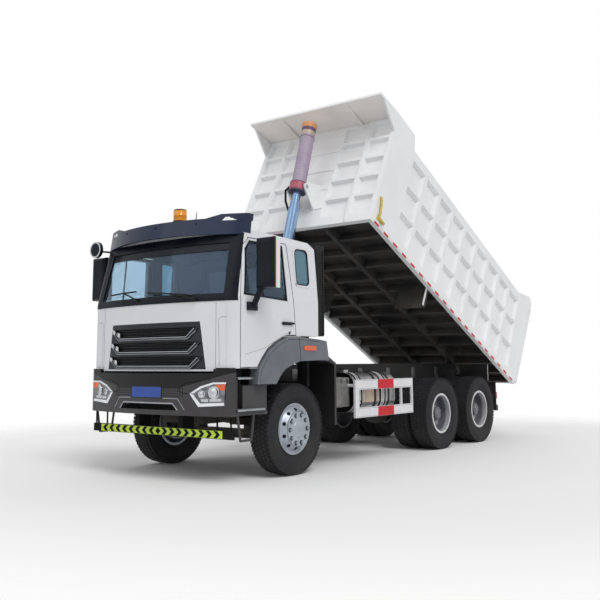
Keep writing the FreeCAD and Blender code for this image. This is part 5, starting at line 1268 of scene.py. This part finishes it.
GUARD_RAILS = ((0.968, 1.093), (0.602, 0.727))


def dress_guards():
    """A red patch on each guard rail, and thin lines along the rails' edges."""
    red = bmesh.new()
    for side in (1, -1):
        for low, high in GUARD_RAILS:
            patch = rectangle(1.735, 2.150, low, high)
            add_sheet(red, patch, 0.003, on_side(side, 0.0015, GUARD_FACE), step=1.0)
    make_piece("guard_red_patches", red, "chassis", stripe_red)
    lines = bmesh.new()
    for side in (1, -1):
        for z in (0.612, 0.717, 0.978, 1.083):
            line = rectangle(1.190, 2.680, z - 0.002, z + 0.002)
            add_sheet(lines, line, 0.0015, on_side(side, 0.0008, GUARD_FACE), step=1.0)
    make_piece("guard_edge_lines", lines, "chassis", seam_grey)


BATTERY_BOX_FACE = 1.080


def dress_boxes():
    mesh = bmesh.new()
    for z in (0.800, 0.870, 0.940, 1.010, 1.080):
        rib = rectangle(0.775, 1.235, z - 0.006, z + 0.006)
        add_sheet(mesh, rib, 0.004, on_side(1, 0.003, BATTERY_BOX_FACE), step=1.0)
    for y in (0.800, 0.935, 1.070, 1.225):
        rib = rectangle(y - 0.006, y + 0.006, 0.750, 1.120)
        add_sheet(mesh, rib, 0.003, on_side(1, 0.002, BATTERY_BOX_FACE), step=1.0)
    make_piece("battery_box_ribs", mesh, "chassis", box_grey)
    shell = bmesh.new()
    add_block(shell, at(0.720, 1.106, 0.745), at(BATTERY_BOX_FACE, 1.250, 1.125), 0.012)
    make_piece("battery_box_end", shell, "chassis", box_grey)
    latches = bmesh.new()
    for y in (0.815, 1.055, 1.190):
        low = at(BATTERY_BOX_FACE, y - 0.015, 1.060)
        add_block(latches, low, at(BATTERY_BOX_FACE + 0.010, y + 0.015, 1.110), 0.002)
    make_piece("battery_box_latches", latches, "chassis", nut_steel)


INTAKE_INNER_X = 0.890
INTAKE_OUTER_X = 1.190
LOUVRE_PITCH = 0.034
LOUVRE_HEIGHT = 0.016


def dress_intake():
    """Louvres on the intake's outer and rear faces, with a bar down each side of the outer ones."""
    mesh = bmesh.new()
    face = INTAKE_OUTER_X - 0.001
    for index in range(30):
        z = 1.700 + index * LOUVRE_PITCH
        add_block(mesh, at(face, 0.362, z), at(INTAKE_OUTER_X + 0.010, 0.512, z + LOUVRE_HEIGHT))
    for index in range(18):
        z = 2.100 + index * LOUVRE_PITCH
        low = at(INTAKE_INNER_X + 0.02, 0.519, z)
        add_block(mesh, low, at(INTAKE_OUTER_X - 0.02, 0.528, z + LOUVRE_HEIGHT))
    for y in (0.362, 0.510):
        add_block(mesh, at(face, y - 0.008, 1.66), at(INTAKE_OUTER_X + 0.014, y + 0.008, 2.735), 0.002)
    make_piece("intake_louvres", mesh, "chassis", black_plastic)


# Chassis


RAIL_X = 0.430


def dress_chassis():
    bolts = bmesh.new()
    for side in (1, -1):
        y = 0.30
        while y < 5.4:
            for z in (0.86, 1.04):
                foot = at(side * RAIL_X, y, z)
                start = foot - Vector((side * 0.002, 0, 0))
                add_rod(bolts, start, foot + Vector((side * 0.011, 0, 0)), 0.013, 6)
            y += 0.30
        for y in (0.9, 1.7, 2.5, 3.3, 4.1, 4.9):
            add_side_block(bolts, side, (RAIL_X + 0.0002, y - 0.06, 1.02), (RAIL_X + 0.008, y + 0.06, 1.24),
                           0.002)
    make_piece("rail_bolts", bolts, "chassis", nut_steel)
    pipes = bmesh.new()
    for z in (1.075, 1.045):
        route = ((0.455, 0.80, z), (0.455, 1.20, z - 0.02), (0.458, 2.2, z), (0.455, 3.3, z - 0.01))
        add_tube(pipes, [at(*point) for point in route], 0.009, 8)
    make_piece("rail_pipes", pipes, "chassis", deep_black)
    lamps = bmesh.new()
    low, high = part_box("tail_lamps")
    for side in (1, -1):
        for x in (0.78, 0.91, 1.04):
            centre = Vector((side * x, high[1], (low[2] + high[2]) / 2))
            add_ring(lamps, centre - Vector((0, 0.003, 0)), (0, 1, 0), 0.048, 0.040, 0.005, 32)
    make_piece("tail_lamp_rings", lamps, "chassis", bright_chrome)
    strips = bmesh.new()
    for side in (1, -1):
        x = side * 1.172
        add_block(strips, at(x - 0.004, 5.396, 1.005), at(x + 0.004, 5.4005, 1.275))
    make_piece("guard_white_edges", strips, "chassis", stripe_white)


FRONT_RIM_PROFILE = ((-0.112, 0.272), (-0.112, 0.302), (-0.104, 0.302), (-0.100, 0.284), (0.098, 0.284),
                     (0.102, 0.300), (0.112, 0.3035), (0.115, 0.298), (0.111, 0.280), (0.098, 0.268),
                     (0.100, 0.256), (0.118, 0.240), (0.138, 0.220), (0.150, 0.206), (0.156, 0.2015),
                     (0.170, 0.200), (0.175, 0.194), (0.175, 0.100), (0.180, 0.094), (0.180, 0.0),
                     (0.150, 0.0), (0.150, 0.150), (0.020, 0.190), (0.020, 0.200), (-0.140, 0.200),
                     (-0.140, 0.215), (0.040, 0.215), (0.085, 0.240), (0.085, 0.272))
HAND_HOLE_PLACE = (0.129, 0.2290)
HAND_HOLES = 10


def dress_front_rims():
    """Bulged discs with ten hand holes, shown by painted shade, in place of the plain front rims."""
    for name, side in SIDES:
        centre = at(side * FRONT_TRACK / 2, 0, WHEEL_Z)
        mesh = bmesh.new()
        spin_profile(mesh, centre, FRONT_RIM_PROFILE, side)
        rim = make_piece("bulged_rim_" + name, mesh, "wheel_front_" + name, wheel_silver,
                         smooth=35)
        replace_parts(rim, "rim_front_" + name)
        # Painted shade: near-black discs where the hand holes are.
        holes = bmesh.new()
        face_out = Vector((side * 0.66, 0, 0.75)).normalized()
        for index in range(HAND_HOLES):
            turn = Matrix.Rotation(math.tau * index / HAND_HOLES, 3, "X")
            foot = centre + turn @ Vector((side * HAND_HOLE_PLACE[0], 0, HAND_HOLE_PLACE[1]))
            out = turn @ face_out
            add_rod(holes, foot - out * 0.004, foot + out * 0.0035, 0.0225, 20)
        make_piece("hand_hole_shade_" + name, holes, "wheel_front_" + name, deep_black)


HUB_COVER_PROFILE = (
    (0.020, 0.0), (0.020, 0.128), (0.180, 0.122), (0.196, 0.100), (0.224, 0.096), (0.230, 0.088),
    (0.230, 0.052), (0.238, 0.046), (0.238, 0.0),
)
HUB_BOLTS = 12
HUB_BOLT_CIRCLE = 0.070


def dress_hub_covers():
    """Drive hub covers with a ring of bolts, set in the dual rims' dishes."""
    for name, side in SIDES:
        for place, y in DRIVE_AXLES:
            wheel = "%s_%s" % (place, name)
            mesh = bmesh.new()
            centre = at(side * REAR_TRACK / 2, y, WHEEL_Z)
            spin_profile(mesh, centre, HUB_COVER_PROFILE, side, 48)
            for index in range(HUB_BOLTS):
                angle = math.tau * index / HUB_BOLTS
                reach = Vector((side * 0.222, HUB_BOLT_CIRCLE * math.sin(angle),
                                HUB_BOLT_CIRCLE * math.cos(angle)))
                foot = centre + reach
                add_rod(mesh, foot, foot + Vector((side * 0.012, 0, 0)), 0.008, 6)
            make_piece("hub_cover_" + wheel, mesh, "wheel_" + wheel, hub_grey)


def dress_rear_wheels():
    """A bright ring on the outer flange of each pair of rims."""
    face = (REAR_TRACK + DUAL_SPACING) / 2 + 0.112
    for name, side in SIDES:
        for place, y in DRIVE_AXLES:
            wheel = "%s_%s" % (place, name)
            mesh = bmesh.new()
            start = at(side * face, y, WHEEL_Z) - Vector((side * 0.004, 0, 0))
            add_ring(mesh, start, (side, 0, 0), RIM_FLANGE_RADIUS + 0.001, 0.2725, 0.006, 64)
            make_piece("flange_ring_" + wheel, mesh, "wheel_" + wheel, bright_flange)


# Bed and hoist


def on_bed_side(side, lift=0.0):
    """Places an outline's (y, z) on the lowered bed's side."""

    def place(co):
        return at(side * (BED_HALF_WIDTH + lift - co.y), co.x, co.z)

    return place


DASH_COUNT = 19
DASH_PITCH = 0.2770
DASH_LENGTH = 0.125
# Each bent rod's points on the left side, and its radius.
HOOK_LOOPS = (
    (((1.262, 1.200, 1.420), (1.275, 1.180, 1.520), (1.275, 1.135, 1.690), (1.258, 1.125, 1.740)), 0.017),
    (((1.262, 1.200, 1.420), (1.280, 1.270, 1.400), (1.262, 1.330, 1.420)), 0.022),
)
LINING_FRONT = 0.485
LINING_SLOPE = 0.0905


def make_bed_piece(name, mesh, material):
    """A piece made in the lowered bed's place, tipped up with the bed."""
    tip_bed(mesh)
    make_piece(name, mesh, "bed", material)


def on_canopy(co):
    """Places an outline's (x, y) under the canopy, which rises to the rear."""
    return at(co.x, co.z, 3.1305 + (co.z - LINING_FRONT) * LINING_SLOPE + co.y)


def dress_bed():
    red = bmesh.new()
    white = bmesh.new()
    for side in (1, -1):
        add_sheet(white, rectangle(1.110, 6.345, 1.303, 1.347), 0.002, on_bed_side(side, 0.0010), step=1.0)
        for index in range(DASH_COUNT):
            y = 1.130 + index * DASH_PITCH
            dash = rectangle(y, y + DASH_LENGTH, 1.307, 1.343)
            add_sheet(red, dash, 0.002, on_bed_side(side, 0.0022), step=1.0)
    make_bed_piece("bed_red_dashes", red, stripe_red)
    make_bed_piece("bed_white_strip", white, stripe_white)
    hooks = bmesh.new()
    for side in (1, -1):
        for loop, radius in HOOK_LOOPS:
            add_tube(hooks, [at(side * x, y, z) for x, y, z in loop], radius, 10)
        add_side_block(hooks, side, (1.249, 1.150, 1.390), (1.262, 1.290, 1.450), 0.004)
    make_bed_piece("bed_corner_hooks", hooks, hook_yellow)
    edges = bmesh.new()
    for side in (1, -1):
        x = side * 1.175
        add_block(edges, at(x - 0.002, 2.905, 1.005), at(x + 0.004, 2.945, 1.315))
    make_bed_piece("hanging_guard_edges", edges, stripe_white)
    ribs = bmesh.new()
    for z in (1.62, 1.98, 2.34, 2.70, 3.02):
        add_block(ribs, at(-0.320, 1.020, z - 0.010), at(0.320, 1.034, z + 0.010), 0.004)
    for x in (-0.80, 0.80):
        add_block(ribs, at(x - 0.020, 1.018, 1.32), at(x + 0.020, 1.034, 3.12), 0.006)
    make_bed_piece("front_wall_ribs", ribs, bed_white)
    # The lining's pale colour is painted light, standing in for bounce light under the canopy.
    under = bmesh.new()
    for x in (-0.62, 0.62):
        add_block(under, at(x - 0.018, 0.500, 3.118), at(x + 0.018, 1.028, 3.150), 0.002)
    add_sheet(under, rectangle(-1.22, 1.22, 0.492, 1.028), 0.004, on_canopy, step=3.0)
    make_bed_piece("canopy_lining", under, canopy_grey_bounce_light)
    pads = bmesh.new()
    for side in (1, -1):
        x = side * 1.235
        for index in range(9):
            y = 1.66 + index * 0.487
            add_block(pads, at(x - 0.012, y - 0.03, 2.985), at(x + 0.012, y + 0.03, 2.996), 0.002)
    make_bed_piece("bed_rim_pads", pads, bed_white)


COVER_BORE = 0.1065
COLLAR_BORE = 0.104
COLLAR_BOLTS = 12
COVER_WRAPS = 28
# Each ring's height from the head pin, its thickness, outer radius and bore.
PAINTED_BANDS = (("hoist_cap_paint", hoist_orange, ((1.012, 0.030, 0.1120, COVER_BORE),)),
                 ("hoist_purple_rings", hoist_purple,
                  ((0.955, 0.052, 0.1095, COVER_BORE), (0.845, 0.012, 0.1090, COVER_BORE))),
                 ("hoist_beige_band", tank_beige, ((0.885, 0.062, 0.1090, COVER_BORE),)),
                 ("hoist_collar_paint", hoist_red, ((-0.066, 0.133, 0.1300, COLLAR_BORE),)))


def hoist_ring(mesh, height, thickness, outer, inner, sides=48):
    """A ring round the hoist's cover, its height measured from the head pin."""
    add_ring(mesh, HOIST_TOP_PIN + HOIST_UP * height, HOIST_UP, outer, inner, thickness, sides)


def dress_hoist():
    for name, material, rings in PAINTED_BANDS:
        mesh = bmesh.new()
        for ring in rings:
            hoist_ring(mesh, *ring)
        make_piece(name, mesh, "hoist_cover", material)
    mesh = bmesh.new()
    hoist_ring(mesh, -0.0735, 0.022, 0.1335, 0.100)
    hoist_ring(mesh, 0.062, 0.012, 0.1310, COLLAR_BORE)
    first_out = HOIST_UP.orthogonal().normalized()
    for index in range(COLLAR_BOLTS):
        out = Matrix.Rotation(math.tau * index / COLLAR_BOLTS, 3, HOIST_UP) @ first_out
        foot = HOIST_TOP_PIN - HOIST_UP * 0.0745 + out * 0.119
        add_rod(mesh, foot, foot - HOIST_UP * 0.010, 0.008, 6)
    make_piece("hoist_collar_flange", mesh, "hoist_cover", hoist_purple)
    mesh = bmesh.new()
    for index in range(COVER_WRAPS):
        hoist_ring(mesh, 0.095 + index * 0.027, 0.005, 0.1082, 0.106, 40)
    make_piece("hoist_cover_wraps", mesh, "hoist_cover", hoist_pink)
    hose = bmesh.new()
    start = HOIST_TOP_PIN + Vector((-0.128, -0.03, 0.03))
    bends = ((0, 0, 0), (-0.035, -0.06, -0.06), (-0.030, -0.07, -0.22), (0.02, -0.05, -0.40))
    add_tube(hose, [start + Vector(bend) for bend in bends], 0.016, 12)
    make_piece("hoist_hose", hose, "hoist_cover", deep_black)


# Cab interior


def add_cushion(mesh, low, high, crown, pull, lean=0.0, cuts=10):
    """A crowned cushion whose sides pull in between its corners; crown is on the +z face."""
    low = Vector(low)
    high = Vector(high)
    middle = (low + high) / 2
    half = (high - low) / 2
    part = bmesh.new()
    bmesh.ops.create_cube(part, size=2.0)
    bmesh.ops.subdivide_edges(part, edges=part.edges[:], cuts=cuts, use_grid_fill=True)
    for vert in part.verts:
        u, v, w = vert.co
        rounding = 1 - 0.06 * (abs(u * v) ** 6 + abs(v * w) ** 6 + abs(u * w) ** 6)
        side_u = u * (1 - pull * (1 - v * v) * (1 - 0.3 * abs(w))) * rounding
        side_v = v * (1 - pull * (1 - u * u) * (1 - 0.3 * abs(w))) * rounding
        top = w * rounding
        if w > -0.99:
            top += crown * (1 - u**4) * (1 - v**4) * max(w, 0)
        for seam in (-0.45, 0.45):
            if w > 0.9:
                top -= 0.10 * math.exp(-((u - seam) ** 2) / 0.0012)
        vert.co = Vector((side_u * half.x, side_v * half.y, top * half.z / (1 + crown)))
    bmesh.ops.smooth_vert(part, verts=part.verts, factor=0.4, use_axis_x=True, use_axis_y=True,
                          use_axis_z=True)
    if lean:
        bmesh.ops.rotate(part, verts=part.verts, cent=(0, 0, 0), matrix=Matrix.Rotation(lean, 3, "X"))
    bmesh.ops.translate(part, verts=part.verts, vec=middle)
    merge_in(mesh, part)


CAB_FLOOR_Z = 1.700
SEAT_X = 0.720
BACK_LEAN = math.radians(97)
WHEEL_TILT = math.radians(45)
WHEEL_RIM_RADIUS = 0.225
DASH_LENGTH_X = 2.10
DASH_PROFILE = [(-1.085, 1.600), (-1.085, 1.975), (-1.030, 2.015), (-0.865, 1.955), (-0.805, 1.850),
                (-0.885, 1.615)]
REAR_WALL_PANELS = (
    (-1.14, 1.14, 1.72, 2.14), (-1.14, -0.63, 2.14, 2.57), (0.63, 1.14, 2.14, 2.57), (-1.08, 1.08, 2.57, 2.72)
)


def make_seat_pad(name, low, high, crown, pull, lean=0.0):
    mesh = bmesh.new()
    add_cushion(mesh, low, high, crown, pull, lean)
    pad = make_piece(name, mesh, "chassis", seat_cloth, smooth=60)
    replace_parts(pad, "cab_interior")


def dress_seats():
    floor = CAB_FLOOR_Z
    for name, side in SIDES:
        x = side * SEAT_X
        low = at(x - 0.240, -0.410, floor + 0.155)
        make_seat_pad("seat_cushion_" + name, low, at(x + 0.240, 0.100, floor + 0.280), 0.35, 0.05)
        low = at(x - 0.230, -0.005 - 0.26, floor + 0.53)
        make_seat_pad("seat_back_" + name, low, at(x + 0.230, 0.205 + 0.29, floor + 0.64), 0.4, 0.04,
                      BACK_LEAN)
    bases = bmesh.new()
    for side in (1, -1):
        x = side * SEAT_X
        add_block(bases, at(x - 0.175, -0.115, floor + 0.001), at(x + 0.175, 0.125, floor + 0.150), 0.01)
    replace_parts(make_piece("seat_bases", bases, "chassis", black_plastic), "cab_interior")


def dress_dashboard():
    dash = bmesh.new()
    add_sheet(dash, DASH_PROFILE, DASH_LENGTH_X, lambda co: at(co.y - DASH_LENGTH_X / 2, co.x, co.z), step=9)
    edges = [edge for edge in dash.edges if abs(edge.verts[0].co.x - edge.verts[1].co.x) > 1]
    bmesh.ops.bevel(dash, geom=edges, offset=0.02, segments=3, profile=0.5, affect="EDGES", material=-1)
    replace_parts(make_piece("dashboard", dash, "chassis", dash_grey), "cab_interior")


def dress_steering_wheel():
    """A rim, a hub, a column and three spokes."""
    wheel = bmesh.new()
    centre = at(SEAT_X, -0.640, 1.960)
    axis = Vector((0, -math.sin(WHEEL_TILT), -math.cos(WHEEL_TILT)))
    around = Vector((1, 0, 0))
    up = axis.cross(around)
    stand = up.to_track_quat("Z", "Y").to_matrix().to_4x4()
    place = Matrix.Translation(centre + around * WHEEL_RIM_RADIUS) @ stand
    section = bmesh.ops.create_circle(wheel, segments=12, radius=0.016, matrix=place)
    loop = section["verts"] + list({edge for vert in section["verts"] for edge in vert.link_edges})
    bmesh.ops.spin(wheel, geom=loop, cent=centre, axis=axis, angle=math.tau, steps=48, use_merge=True)
    add_rod(wheel, centre + axis * 0.02, centre + axis * 0.30, 0.030, 20)
    add_rod(wheel, centre - axis * 0.02, centre + axis * 0.03, 0.060, 24)
    for degrees in (20, 160, 270):
        angle = math.radians(degrees)
        tip = centre + around * 0.222 * math.cos(angle) + up * 0.222 * math.sin(angle)
        add_rod(wheel, centre, tip, 0.012, 10)
    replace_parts(make_piece("steering_wheel", wheel, "chassis", black_plastic),
                "cab_interior")


def dress_lining():
    lining = bmesh.new()
    for low_x, high_x, low_z, high_z in REAR_WALL_PANELS:
        add_block(lining, at(low_x, 0.245, low_z), at(high_x, 0.268, high_z))
    add_block(lining, at(-1.00, -0.90, 2.735), at(1.00, 0.15, 2.745))
    for side in (1, -1):
        add_side_block(lining, side, (1.168, -0.105, 1.75), (1.176, 0.24, 2.24))
    make_piece("cab_lining", lining, "chassis", lining_grey)


# Stage, light and camera


def direction(azimuth, elevation):
    """A direction from its degrees round from the truck's front and up from the floor."""
    turn = math.radians(azimuth)
    rise = math.radians(elevation)
    return Vector((math.sin(turn) * math.cos(rise), -math.cos(turn) * math.cos(rise), math.sin(rise)))


def lay_floor():
    """A matt floor that fades out, so that its far edge doesn't show."""
    mesh = bmesh.new()
    bmesh.ops.create_circle(mesh, cap_ends=True, segments=64, radius=30.0)
    data = bpy.data.meshes.new("studio_floor")
    mesh.to_mesh(data)
    mesh.free()
    floor = bpy.data.objects.new("studio_floor", data)
    bpy.context.scene.collection.objects.link(floor)
    material = bpy.data.materials.new("floor_white")
    material.use_nodes = True
    tree = material.node_tree
    shader = tree.nodes["Principled BSDF"]
    shader.inputs["Roughness"].default_value = 0.9
    shader.inputs["Base Color"].default_value = (0.86, 0.86, 0.86, 1)
    distance = tree.nodes.new("ShaderNodeVectorMath")
    distance.operation = "LENGTH"
    link(tree, object_coordinates(tree), distance.inputs[0])
    clear = tree.nodes.new("ShaderNodeBsdfTransparent")
    blend = tree.nodes.new("ShaderNodeMixShader")
    link(tree, band(tree, distance.outputs["Value"], 5.5, 9.5), blend.inputs[0])
    link(tree, shader.outputs[0], blend.inputs[1])
    link(tree, clear.outputs[0], blend.inputs[2])
    link(tree, blend.outputs[0], tree.nodes["Material Output"].inputs["Surface"])
    data.materials.append(material)


AMBIENT = 0.62
# Each lamp's degrees round from the front and up, its strength and its softness in degrees.
LAMPS = (("key_lamp", 66, 50, 1.30, 30), ("fill_lamp", -20, 30, 0.35, 50))


def light_studio():
    """White to the camera and through glass, a lower even light on the truck, and two soft lamps."""
    world = bpy.data.worlds.new("studio_world")
    bpy.context.scene.world = world
    world.use_nodes = True
    tree = world.node_tree
    background = tree.nodes["Background"]
    background.inputs["Color"].default_value = (1, 1, 1, 1)
    path = tree.nodes.new("ShaderNodeLightPath")
    seen = math_node(tree, "ADD", path.outputs["Is Camera Ray"], path.outputs["Is Transmission Ray"],
                     clamp=True)
    strength = math_node(tree, "ADD", product(tree, seen, 1.0 - AMBIENT), AMBIENT)
    link(tree, strength, background.inputs["Strength"])
    for name, azimuth, elevation, power, softness in LAMPS:
        lamp = bpy.data.lights.new(name, "SUN")
        lamp.energy = power
        lamp.angle = math.radians(softness)
        holder = bpy.data.objects.new(name, lamp)
        bpy.context.scene.collection.objects.link(holder)
        holder.rotation_euler = direction(azimuth, elevation).to_track_quat("Z", "Y").to_euler()


CAMERA_AZIMUTH = 37.194
CAMERA_ELEVATION = -7.769
CAMERA_ROLL = -0.31
CAMERA_PLACE = (7.129, -7.718, 1.323)
FOCAL_PIXELS = 801.2
CENTRE_PIXEL = (303.5, 253.4)
IMAGE_SIZE = 600


def set_camera():
    camera = bpy.data.cameras.new("photo_camera")
    camera.sensor_width = 36.0
    camera.lens = FOCAL_PIXELS / IMAGE_SIZE * camera.sensor_width
    camera.shift_x = (IMAGE_SIZE / 2 - CENTRE_PIXEL[0]) / IMAGE_SIZE
    camera.shift_y = (CENTRE_PIXEL[1] - IMAGE_SIZE / 2) / IMAGE_SIZE
    camera.clip_end = 200.0
    holder = bpy.data.objects.new("photo_camera", camera)
    bpy.context.scene.collection.objects.link(holder)
    back = direction(CAMERA_AZIMUTH, CAMERA_ELEVATION)
    upright = back.to_track_quat("Z", "Y").to_matrix().to_4x4()
    roll = Matrix.Rotation(math.radians(CAMERA_ROLL), 4, "Z")
    holder.matrix_world = Matrix.Translation(at(*CAMERA_PLACE)) @ upright @ roll
    bpy.context.scene.camera = holder


dress_wheels()
dress_front_rims()
dress_rear_wheels()
dress_hub_covers()
dress_screen()
dress_wipers()
dress_visor()
dress_roof()
dress_grille()
dress_bumper()
dress_headlamps()
dress_underrun()
dress_doors()
dress_mirrors()
dress_fenders()
dress_steps()
dress_tank()
dress_guards()
dress_boxes()
dress_intake()
dress_chassis()
dress_bed()
dress_hoist()
dress_seats()
dress_dashboard()
dress_steering_wheel()
dress_lining()
lay_floor()
light_studio()
set_camera()
bpy.context.scene.view_settings.view_transform = "Standard"
